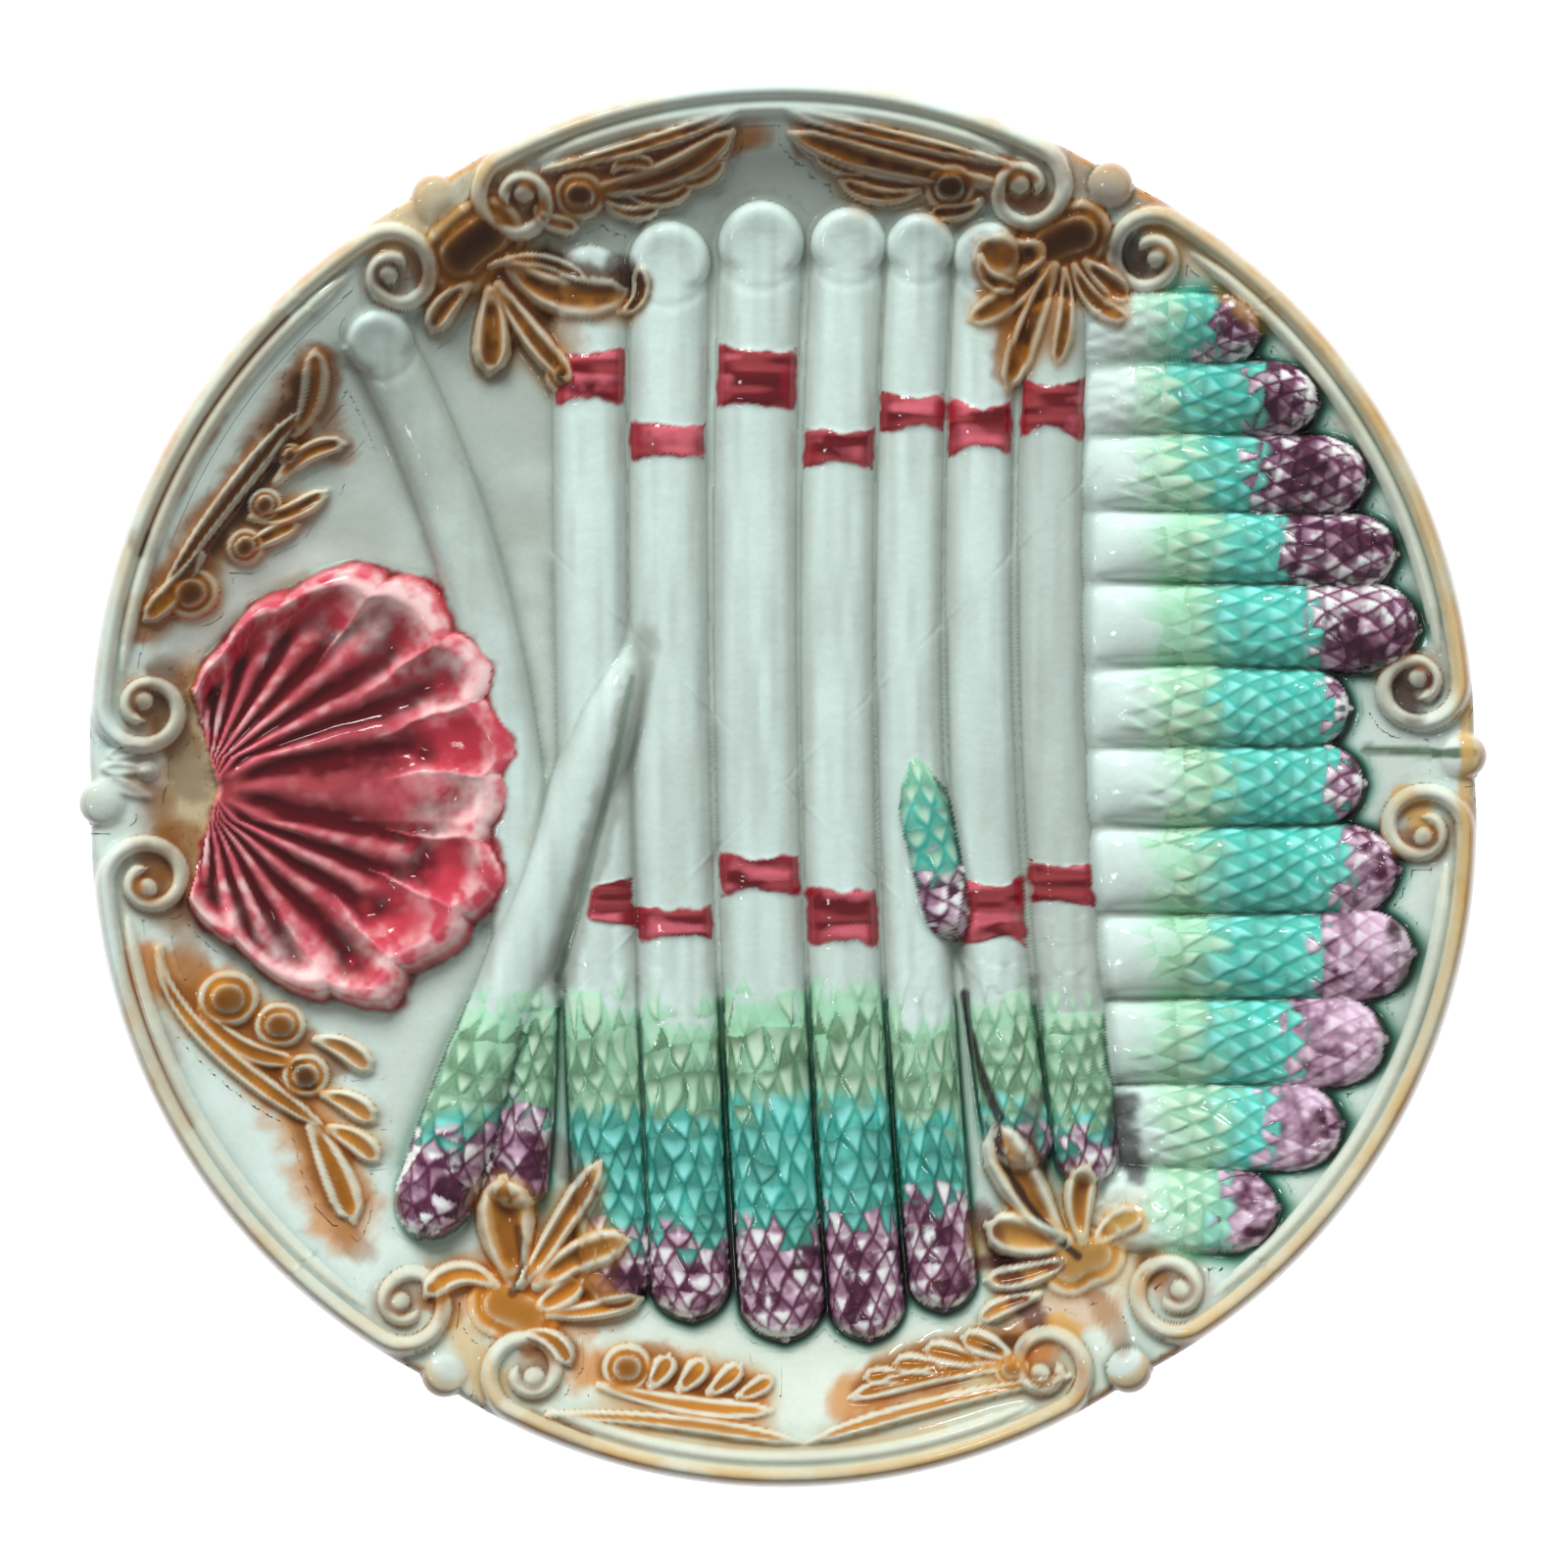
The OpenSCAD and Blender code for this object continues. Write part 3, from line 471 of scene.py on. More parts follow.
# Index of the spear under each band, then the band's middle and half width as shares
ties = {
    "thickness": 0.5, "reach": 0.93, "bluntness": 0.3, "cordHeight": 0.25, "cords": 3,
    "upper_tie": [[0, 0.578, 0.042], [1, 0.488, 0.027], [2, 0.579, 0.047], [3, 0.479, 0.029],
                  [4, 0.529, 0.028], [5, 0.508, 0.042], [6, 0.536, 0.042]],
    "lower_tie": [[0, -0.172, 0.036], [1, -0.2, 0.024], [2, -0.131, 0.029], [3, -0.19, 0.042],
                  [5, -0.183, 0.049], [6, -0.142, 0.032]],
}
rough = cloud(gridX, gridY, 5, 51)
across = laid["across"]
for name in ("upper_tie", "lower_tie"):
    for spear, middle, half in ties[name]:
        upBand = (shareY - middle) / half
        inside = ((owner == number(f"spear_{spear + 1}")) & (abs(across) < ties["reach"])
                  & (abs(shareY - middle) < half * (0.72 + 0.35 * across ** 2 + 0.25 * rough)))
        if spear == 0 and name == "lower_tie":
            inside &= across > -0.2
        band = dome(upBand, ties["bluntness"]) * dome(across / ties["reach"], ties["bluntness"])
        cord = 1 + ties["cordHeight"] * np.cos(np.pi * ties["cords"] * (shareY - middle) / half)
        relief[inside] += (ties["thickness"] * band * cord)[inside]
        owner[inside] = number(name)
        laid["way"][inside] = upBand[inside]
        laid["seam"][inside] = 0
print("ties laid")

# Heights by kind in millimetres, and a leaf's half width at shares of its length
leaf = {
    "palmette": 4.2, "spray": 2.6, "rim": 2.2, "fullFrom": 2.3, "fuller": 1.18, "crestAt": 0.68,
    "ways": [0, 0.15, 0.35, 0.55, 0.74, 0.9, 1], "widths": [0.4, 0.6, 0.85, 0.98, 1, 0.75, 0.2],
    "ringAt": 0.62, "ringDepth": 0.4, "eye": 0.45,
}
# Start, middle, end and half width of each leaf in thousandths of the plate's radius, then its height
# as a share
ornament = {
    "palmette_north_west": [
        [-389, 741, -317, 696, -222, 702, 29, 1], [-233, 671, -205, 694, -208, 736, 13, 1],
        [-417, 736, -345, 744, -278, 713, 11, 0.9], [-417, 699, -415, 638, -420, 585, 25, 1],
        [-406, 710, -355, 634, -300, 574, 18, 0.95], [-448, 708, -480, 680, -501, 643, 18, 0.8],
        [-459, 749, -440, 766, -420, 780, 47, 0.55], [-313, 582, -310, 582, -307, 582, 24, 0.9],
    ],
    "palmette_north_east": [
        [387, 736, 353, 655, 320, 560, 21, 1], [401, 731, 403, 666, 389, 596, 14, 0.9],
        [415, 736, 445, 685, 493, 660, 15, 0.9], [373, 766, 322, 747, 278, 772, 33, 0.9],
        [373, 741, 322, 691, 264, 660, 21, 0.85], [431, 741, 468, 708, 490, 688, 17, 0.9],
        [381, 766, 401, 775, 420, 780, 42, 0.55], [281, 749, 297, 716, 336, 710, 13, 0.7],
    ],
    "palmette_south_west": [
        [-381, -708, -395, -632, -399, -565, 38, 1], [-373, -716, -317, -632, -261, -540, 18, 1],
        [-350, -716, -289, -674, -222, -652, 24, 1], [-334, -758, -272, -752, -201, -736, 14, 0.8],
        [-350, -747, -317, -730, -289, -710, 20, 0.8], [-409, -716, -462, -699, -509, -730, 18, 0.9],
        [-401, -741, -384, -749, -364, -758, 42, 0.5], [-361, -783, -325, -794, -303, -828, 14, 0.9],
    ],
    "palmette_south_east": [
        [392, -646, 339, -568, 303, -490, 32, 1], [428, -652, 423, -599, 434, -546, 21, 1],
        [403, -652, 350, -649, 292, -632, 31, 0.9], [406, -680, 345, -702, 289, -710, 18, 0.8],
        [448, -655, 476, -629, 512, -613, 20, 0.8], [409, -688, 426, -677, 445, -671, 39, 0.5],
        [364, -730, 308, -749, 281, -769, 14, 0.6],
    ],
    "spray_north_left": [
        [-339, 870, -194, 906, -59, 953, 11, 1], [-278, 842, -161, 867, -71, 925, 20, 0.9],
        [-227, 842, -172, 830, -130, 853, 11, 0.8], [-253, 828, -219, 811, -177, 819, 11, 0.8],
        [-152, 856, -116, 858, -85, 883, 10, 0.8], [-292, 835, -289, 835, -286, 835, 29, 1],
        [-350, 816, -334, 800, -292, 791, 13, 0.8], [-241, 870, -222, 881, -183, 878, 11, 1],
    ],
    "spray_north_right": [
        [336, 875, 183, 909, -1, 953, 11, 1], [294, 853, 141, 881, 10, 923, 20, 0.9],
        [194, 844, 138, 836, 82, 858, 13, 0.8], [281, 828, 253, 814, 211, 814, 13, 0.8],
        [113, 867, 82, 875, 46, 892, 10, 0.8], [234, 847, 237, 847, 240, 847, 29, 1],
    ],
    "spray_north_west": [
        [-886, 244, -828, 350, -688, 529, 14, 0.9], [-696, 498, -669, 551, -666, 615, 18, 1],
        [-722, 428, -677, 470, -624, 484, 14, 0.9], [-758, 378, -708, 384, -652, 417, 14, 0.9],
        [-777, 325, -736, 350, -691, 370, 13, 0.8], [-703, 465, -702, 466, -701, 468, 15, 1],
        [-740, 395, -738, 396, -737, 398, 20, 1], [-768, 335, -766, 336, -765, 338, 22, 1],
        [-828, 325, -861, 278, -906, 230, 17, 0.9], [-844, 269, -842, 271, -839, 272, 31, 1],
    ],
    "spray_south_west": [
        [-886, -236, -828, -353, -655, -490, 14, 0.9], [-793, -307, -790, -307, -787, -307, 35, 1],
        [-722, -345, -717, -345, -713, -345, 28, 1], [-684, -417, -681, -417, -678, -417, 27, 1],
        [-666, -367, -624, -381, -590, -412, 17, 0.9], [-655, -445, -615, -459, -585, -484, 17, 0.9],
        [-646, -493, -607, -512, -579, -540, 17, 0.9], [-671, -490, -635, -560, -610, -624, 22, 0.9],
        [-828, -322, -766, -378, -696, -395, 14, 0.7],
    ],
    "spray_south_left": [
        [-261, -856, -138, -883, -13, -892, 13, 0.8], [-225, -832, -222, -832, -219, -832, 29, 1],
        [-188, -856, -172, -836, -163, -816, 17, 1], [-147, -861, -127, -842, -113, -822, 17, 0.95],
        [-105, -867, -82, -850, -60, -830, 15, 0.9], [-63, -872, -38, -861, -15, -847, 13, 0.8],
        [-334, -895, -166, -906, 27, -936, 11, 0.8],
    ],
    "spray_south_right": [
        [331, -828, 211, -842, 94, -875, 14, 0.8], [322, -816, 289, -800, 255, -791, 18, 1],
        [281, -828, 241, -814, 202, -808, 17, 0.95], [233, -839, 194, -828, 158, -828, 15, 0.9],
        [186, -850, 149, -844, 116, -847, 13, 0.8], [406, -842, 211, -883, 32, -936, 11, 0.9],
        [322, -833, 325, -833, 328, -833, 20, 0.9],
    ],
    "rim_knob_west": [
        [-900, -20, -925, -10, -958, 6, 12, 0.6], [-905, 20, -930, 20, -965, 20, 12, 0.6],
        [-900, 55, -925, 48, -958, 36, 12, 0.6], [-905, 17, -903, 17, -901, 17, 14, 0.8],
    ],
}


def layLeaf(name, row, height):
    # A scooped leaf with a raised outline and a hollow middle; a short wide one is a round berry with
    # a ring. Where a leaf runs over a spear it lies on top of it
    *places, halfShare, heightShare = unpack(row)
    half = halfShare * plateRadius
    if height > leaf["fullFrom"]:
        half = half * leaf["fuller"]
    pick, run, side, length = near(bent(*places, spots=16), half + 1)
    below = relief.flat[pick]
    on = smooth(0.5, 2.5, below)
    t = run / length
    if length < half:
        q = abs(side) / half
        ringed = 1 - leaf["ringDepth"] * np.exp(-((q - leaf["ringAt"]) / 0.13) ** 2)
        lay(name, pick, height * heightShare * dome(q, 0.5) * ringed, across=q, way=np.full_like(q, 0.5),
            seam=np.exp(-((q - leaf["ringAt"]) / 0.16) ** 2), light=dome(q / leaf["eye"]),
            tone=np.ones_like(q))
        return
    width = half * np.interp(t, leaf["ways"], leaf["widths"])
    q = side / width
    outline = np.exp(-((abs(q) - leaf["crestAt"]) / 0.32) ** 2)
    bare = smooth(0.05, 0.25, t) * (1 - smooth(0.85, 1, t))
    section = (0.5 + 0.5 * outline) * bare + (1 - bare) * 0.95
    tall = height * heightShare * (width / half) ** 0.5 * dome(abs(q) ** 1.6, 0.5) * section
    tall = tall * (1 - 0.6 * on) + below * 0.93 * on * (abs(q) < 1)
    lay(name, pick, tall, across=q, way=t, seam=np.exp(-(q / 0.42) ** 4) * bare, light=outline)


for name, rows in ornament.items():
    for row in rows:
        layLeaf(name, row, leaf[name.split("_")[0]])
print("leaves laid")

shell = {
    "hinge": [-0.806, -0.008], "hingeHalf": 5.5, "length": 54, "height": 4.2, "ribs": 15,
    "ribHeight": 1.25, "scoopDepth": 1.3, "edgeHeight": 0.5, "ruffleHeight": 0.6, "ruffleAt": 0.91,
    "halfTurn": 104, "fanSpan": 200, "ribWander": 1.5, "edgeWander": 2.5,
    "angles": [-104, -92, -80, -66, -52, -40, -30, -18, -8, 6, 16, 24, 38, 48, 58, 70, 80, 90, 102],
    "reach": [0.4, 0.47, 0.57, 0.76, 0.91, 0.9, 0.97, 1.01, 0.93, 1.02, 0.97, 1.01, 0.96, 0.95, 0.87,
              0.72, 0.6, 0.46, 0.36],
    "ways": [0.0, 0.06, 0.16, 0.3, 0.44, 0.58, 0.7, 0.82, 0.9, 0.96, 1],
    "rise": [0.35, 0.55, 0.5, 0.36, 0.25, 0.2, 0.3, 0.62, 1, 0.85, 0.1],
    "lobeEdges": [-104, -84, -62, -44, -27, -12, 4, 19, 34, 52, 70, 86, 104],
}
# The outline is a reach for each angle. The ribs leave a short upright hinge side by side, so their
# angle is counted from each rib's own start. The height is a profile outwards, plus ribs that are cosine
# waves over that angle, minus a scoop in each lobe, plus the edges between lobes and a ruffle
shellX = gridX - shell["hinge"][0] * plateRadius
shellY = gridY - shell["hinge"][1] * plateRadius
hingeY = np.clip(shellY, -shell["hingeHalf"], shell["hingeHalf"])
shellAngle = np.degrees(np.arctan2(shellY, shellX))
fanAngle = np.degrees(np.arctan2(shellY - hingeY * 0.6, np.maximum(shellX, -3) + 1.5))
shellReach = np.interp(shellAngle, shell["angles"], shell["reach"])
shellWay = np.hypot(shellX, shellY) / shell["length"] / shellReach
wavy = cloud(gridX, gridY, 9, 91)
edges = shell["lobeEdges"]
lobeTurn = np.interp(shellAngle + shell["edgeWander"] * wavy, edges, np.arange(len(edges)))
lobe = abs(np.sin(math.pi * lobeTurn)) ** 0.6
lobeDice = np.random.default_rng(7).uniform(0, 1, 20)[np.floor(lobeTurn).astype(int) % 20]
shellWay = shellWay / (0.945 + 0.055 * lobe)
ribTurn = (fanAngle + shell["ribWander"] * wavy) / shell["fanSpan"] * shell["ribs"]
rib = abs(np.cos(math.pi * ribTurn)) ** 2
ribEnd = 0.55 + 0.2 * lobeDice
inner = smooth(0.03, 0.16, shellWay) * (1 - smooth(ribEnd, 0.75 + 0.2 * lobeDice, shellWay))
outer = smooth(0.52, 0.68, shellWay) * (1 - smooth(0.93, 1, shellWay))
scoop = (lobe * np.exp(-((shellWay - 0.66 - 0.14 * lobeDice) / (0.07 + 0.06 * lobeDice)) ** 2)
         * np.clip(0.5 + 0.9 * wavy + 0.5 * lobeDice, 0.1, 1))
ruffle = np.exp(-((shellWay - shell["ruffleAt"]) / 0.055) ** 2) * (0.35 + 0.65 * lobe * lobeDice)
shellHeight = (shell["height"] * np.interp(shellWay, shell["ways"], shell["rise"])
               + shell["ribHeight"] * (rib - 0.6) * inner - shell["scoopDepth"] * scoop * outer
               + shell["edgeHeight"] * (1 - lobe) * outer + shell["ruffleHeight"] * ruffle)
shellPick = np.flatnonzero((shellWay < 1) & (abs(shellAngle) < shell["halfTurn"]))
field = lambda f: f.flat[shellPick]
lay("sauce_shell", shellPick, field(np.maximum(shellHeight, 0.12)), way=field(shellWay),
    seam=field(np.maximum((1 - rib) * inner, np.clip(0.8 * scoop, 0, 1) * outer)),
    light=field(np.clip(ruffle + 0.55 * (1 - lobe) * outer + 0.5 * rib * inner, 0, 1)),
    tone=field(lobeDice * 2 - 1))
print("shell laid")

# Glaze fills the creases, so the skin is the relief with its hollows partly filled
fill = {"reach": 0.65, "share": 0.55, "webReach": 1.5, "webShare": 0.86, "poolDepth": 1.2, "crestRise": 0.28}
wide = spread(relief, fill["webReach"])
filled = relief + fill["share"] * np.maximum(spread(relief, fill["reach"]) - relief, 0)
# Between the stalks the clay is pressed up, so that they are only soft waves
stalks = (1 - smooth(0.27, 0.31, -shareY)) * (1 - smooth(0.5, 0.58, shareX)) * (shareX > -0.62)
web = spread(np.where(owner > 0, relief, 0), fill["webReach"])
web = np.where((laid["way"] == 0) & (laid["seam"] < 0.6), web, 0)
held = smooth(0.1, 0.6, spread(owner > 0, 0.8))
filled = np.maximum(filled, fill["webShare"] * web * stalks * held)
skin = base + even(filled, 3)
pool = np.clip((wide - relief) / fill["poolDepth"], -1, 1)
ridge = np.clip((relief - spread(relief, 0.7)) / fill["crestRise"], 0, 1)
# Upward direction of the skin: the two grid directions crossed
gradI, gradJ = (np.stack([np.gradient(f, axis=axis) for f in (gridX, gridY, skin)], -1) for axis in (0, 1))
upward = np.cross(gradI, gradJ)
upward = upward / np.maximum(np.linalg.norm(upward, axis=2, keepdims=True), 1e-9)
print("skin smoothed")


def tint(red, green, blue):
    # Screen colour to light
    c = np.array([red, green, blue]) / 255
    return np.where(c < 0.04045, c / 12.92, ((c + 0.055) / 1.055) ** 2.4)


glazes = {
    "cream": tint(213, 228, 223), "shade": tint(156, 164, 156), "butter": tint(208, 211, 193),
    "mist": tint(210, 229, 225), "tan": tint(206, 164, 92), "amber": tint(196, 126, 36),
    "brown": tint(146, 88, 20), "bark": tint(60, 28, 6), "crimson": tint(150, 20, 38),
    "wine": tint(84, 4, 18), "rose": tint(200, 54, 74), "pink": tint(224, 108, 124),
    "blush": tint(240, 208, 206), "leafLight": tint(156, 216, 178), "leafPale": tint(206, 234, 208),
    "olive": tint(76, 126, 74), "pine": tint(10, 76, 58), "turquoise": tint(36, 196, 184),
    "aqua": tint(150, 236, 230), "purple": tint(92, 26, 62), "mauve": tint(150, 82, 122),
    "lilac": tint(214, 178, 204), "slip": tint(34, 10, 26), "moss": tint(40, 80, 40),
    "white": tint(240, 244, 241),
}
glaze = np.empty(gridX.shape + (3,))
glaze[:] = glazes["cream"]


def paint(colour, amount):
    # Mixes a glaze into all points by an amount from 0 to 1
    global glaze
    a = np.clip(amount, 0, 1)[..., None]
    glaze = glaze * (1 - a) + glazes[colour] * a


def only(name):
    return owner == number(name)


def ownedBy(*starts):
    return np.isin(owner, [k for k, name in enumerate(pieceNames) if name.startswith(starts)])


def beside(mask, reach):
    # The bare clay next to a mask, most right beside it
    return (owner == 0) * np.clip(2.4 * spread(mask, reach), 0, 1)


wander = cloud(gridX, gridY, 9, 11)
fine = cloud(gridX, gridY, 2.6, 21)
broad = cloud(gridX, gridY, 30, 31)
seam, light, tone, across, way = (laid[key] for key in ("seam", "light", "tone", "across", "way"))
wet = np.clip(pool * 1.6, 0, 1)
paint("butter", 0.15 + 0.35 * broad + 0.2 * wander)
paint("shade", 0.45 * np.clip(pool, 0, 1) + 0.12 * wander + 0.03)
# Painted shade over the north of the well and its inner slope
paint("shade", 0.7 * smooth(0.6, 0.82, shareY) * (1 - smooth(0.45, 0.62, abs(shareX)))
      * smooth(4, 9, fromEdge))
paint("white", 0.5 * ridge)
# Painted shade: the bare clay towards the south dulled with butter
paint("butter", (owner == 0) * smooth(0.72, 0.85, -shareY) * 0.45)

# Upright bundle: blue-white stalks with grey grooves and painted shade on their flanks, over the last
# stalk and on the clay beside them, then green, olive, turquoise and purple heads
upright = ownedBy("spear_", "slanting", "crossing")
paint("mist", upright * 0.8)
paint("shade", upright * np.clip(0.8 * wet - 0.1, 0, 0.5))
paint("shade", upright * (1 - smooth(0.28, 0.33, -shareY)) * smooth(0.4, 1, abs(across)) * 0.65)
paint("shade", only("spear_7") * 0.4)
paint("shade", upright * np.clip(0.1 + 0.3 * patches(gridX, gridY / 9, 1.6, 93), 0, 0.35))
besideUpright = beside(upright, 1.1) * (1 - 0.85 * smooth(-0.33, -0.4, shareX))
paint("shade", besideUpright * 0.2)
headed = np.clip(upright + besideUpright, 0, 1)
uneven = np.random.default_rng(5).uniform(-1, 1, len(pieceNames))[owner]
downY = -shareY + 0.026 * tone + 0.008 * fine + 0.012 * uneven
green = smooth(0.3, 0.33, downY)
blue = smooth(0.455, 0.485, downY)
paint("leafLight", headed * green * 0.9)
paint("olive", headed * smooth(0.335, 0.37, downY) * (1 - blue)
      * np.clip(0.28 + 0.5 * tone + 0.3 * fine, 0, 0.85))
paint("turquoise", headed * blue * np.clip(0.85 + 0.2 * fine, 0, 1))
paint("pine", headed * blue * np.clip(0.4 - 0.5 * tone + 0.3 * fine, 0, 0.65))
paint("leafPale", upright * green * (1 - blue) * light * np.clip(0.75 + 0.3 * tone, 0, 0.95))
paint("aqua", upright * blue * light * np.clip(0.8 + 0.3 * tone, 0, 0.95))
paint("moss", upright * smooth(0.32, 0.39, downY) * (1 - blue) * np.clip(seam * 1.1, 0, 0.9))
paint("pine", upright * blue * seam * 0.85)
paint("pine", headed * green * np.clip(1.2 * wet - 0.15, 0, 0.8))
paint("pine", besideUpright * smooth(0.36, 0.44, downY) * (0.15 + 0.7 * (abs(shareX + 0.02) < 0.3)))
uprightTips = {"spear_1": 0.66, "spear_2": 0.645, "spear_3": 0.65, "spear_4": 0.63, "spear_5": 0.575,
               "spear_6": 0.515, "spear_7": 0.5, "slanting_spear": 0.475, "crossing_spear": 0.5}


def purpleTip(mask):
    # Purple with lighter scales, nearly black seams and painted white highlights
    paint("purple", mask * 0.97)
    paint("mauve", mask * np.clip(0.3 + 0.8 * fine, 0, 0.8))
    paint("lilac", mask * light * np.clip(0.55 + 0.8 * tone + 0.9 * fine, 0, 1))
    paint("slip", mask * np.clip(seam * 0.95 + 0.6 * wet - 0.4 * tone - 0.12, 0, 0.85))
    # Painted highlights: white glints on the crests and the scales' light middles
    paint("white", mask * np.maximum(ridge, light) * smooth(0.02, 0.35, fine + 0.2 * tone) * 0.95)


def past(start, place):
    # Soft step where a tip's purple starts
    return smooth(start - 0.008, start + 0.01, place)


for name, start in uprightTips.items():
    purpleTip(only(name) * past(start, downY + 0.008 * tone))
paint("slip", besideUpright * smooth(0.6, 0.68, downY) * (abs(shareX) < 0.32) * 0.85)

# Side bundle: white starts, then light green, olive and turquoise, purple tips and dark grooves
sided = ownedBy("side_spear")
besideSide = beside(sided, 1.4) * (shareX > 0.44)
outX = shareX + 0.022 * tone + 0.006 * fine + 0.012 * uneven
both = np.clip(sided + besideSide, 0, 1)
blue = smooth(0.58, 0.66, outX + 0.05 * smooth(0.35, 0.6, shareY))
paint("mist", sided * 0.7)
paint("leafLight", both * smooth(0.49, 0.57, outX) * 0.9)
paint("olive", both * smooth(0.535, 0.58, outX) * (1 - blue) * np.clip(0.1 + 0.5 * tone + 0.3 * fine, 0, 0.5))
paint("turquoise", both * blue * np.clip(0.8 + 0.2 * fine, 0, 1))
paint("leafPale", sided * smooth(0.5, 0.56, outX) * (1 - blue) * light * 0.95)
paint("aqua", sided * blue * light * np.clip(0.8 + 0.3 * tone, 0, 0.95))
paint("pine", sided * smooth(0.52, 0.6, outX) * seam * 0.6)
paint("pine", both * smooth(0.55, 0.68, outX) * np.clip(1.3 * wet - 0.2, 0, 0.85))
paint("shade", both * (1 - smooth(0.5, 0.58, outX)) * np.clip(0.7 * wet, 0, 0.35))
paint("pine", besideSide * smooth(0.54, 0.68, outX) * 0.9)
sideTips = [0.615, 0.678, 0.678, 0.7, 0.755, 0.785, 0.776, 0.8, 0.762, 0.734, 0.678, 0.629]
for i, start in enumerate(sideTips):
    tip = only(f"side_spear_{i + 1}") * past(start, outX)
    purpleTip(tip)
    paint("lilac", tip * smooth(0.1, -0.25, shareY) * np.clip(0.35 + 0.8 * fine, 0, 0.75))
paint("slip", besideSide * smooth(0.74, 0.84, outX) * 0.55)
loose = only("loose_tip")
paint("leafLight", loose * 0.9)
paint("turquoise", loose * smooth(-0.02, 0.04, downY) * 0.85)
paint("leafPale", loose * light * 0.7)
paint("pine", loose * np.clip(seam * 0.8 + smooth(0.6, 1, abs(across)) * 0.8, 0, 0.9))
purpleTip(loose * smooth(0.1, 0.125, downY))
paint("pine", beside(loose, 1.2) * 0.5)
print("heads glazed")

# Grey shade over the clay and the slanting spear at the upper left
shaded = (owner == 0) | ownedBy("slanting")
paint("shade", 0.75 * shaded * smooth(-0.05, 0.5, shareY + 0.2 * wander) * (1 - smooth(-0.3, -0.24, shareX))
      * smooth(0.95, 0.7, np.hypot(shareX, shareY)))
lipTan = smooth(4.6, 2.6, fromEdge + 0.8 * wander) * (owner != 0)

# Ornament: tan run-out on the clay, pale crests, brown in the hollows, darker towards the north
brownish = ownedBy("rim_scroll", "palmette", "spray")
leafy = ownedBy("palmette", "spray")
dark = np.clip(0.5 + 0.6 * shareY + 0.25 * wander, 0, 1)
spill = spread(brownish, 2.2)
leafSpill = spread(leafy, 2.2)
paint("tan", np.clip(spill * 0.2 + leafSpill * 0.6 + 0.35 * wander - 0.2, 0, 0.7))
arcs = ownedBy("rim_scroll") * (way > 0.97)
paint("tan", brownish * np.clip(0.6 * leafy - 0.1 + 0.45 * wander + (0.6 - 0.3 * arcs) * wet, 0, 0.8))
ground = np.clip(1.7 * leafSpill - 0.3 + 0.3 * wander, 0, 1)
paint("brown", ground * dark * smooth(-0.2, 0.2, shareY) * 0.75)
paint("amber", ground * (1 - dark) * (shareX < 0.25) * 0.45)
berry = leafy * (tone > 0.5)
hollow = np.clip(leafy * (0.95 * seam + 0.6 * wet + light * (tone > 0.5))
                 + brownish * wet * (0.4 - 0.25 * arcs), 0, 1)
paint("amber", hollow * (1 - dark) * 0.85)
paint("brown", hollow * np.clip(0.25 + dark, 0, 0.9))
paint("bark", hollow * hollow * dark * np.clip(0.35 + 0.7 * fine, 0, 0.8))
# The volutes are browner than the beads between them, most in and round their eyes
curled = ownedBy("rim_scroll") * (way < 0.97)
paint("amber", curled * np.clip(0.2 + 0.6 * wander, 0, 0.6) * (1 - dark))
paint("brown", curled * np.clip(0.1 + 0.6 * wander + 0.6 * wet, 0, 0.7))
for x, y in eyes:
    away = np.hypot(gridX - x, gridY - y)
    paint("brown", (1 - smooth(3, 6.5, away + fine)) * 0.55)
    paint("bark", (1 - smooth(1.6, 3.4, away + 0.6 * fine)) * (0.3 + 0.5 * dark))
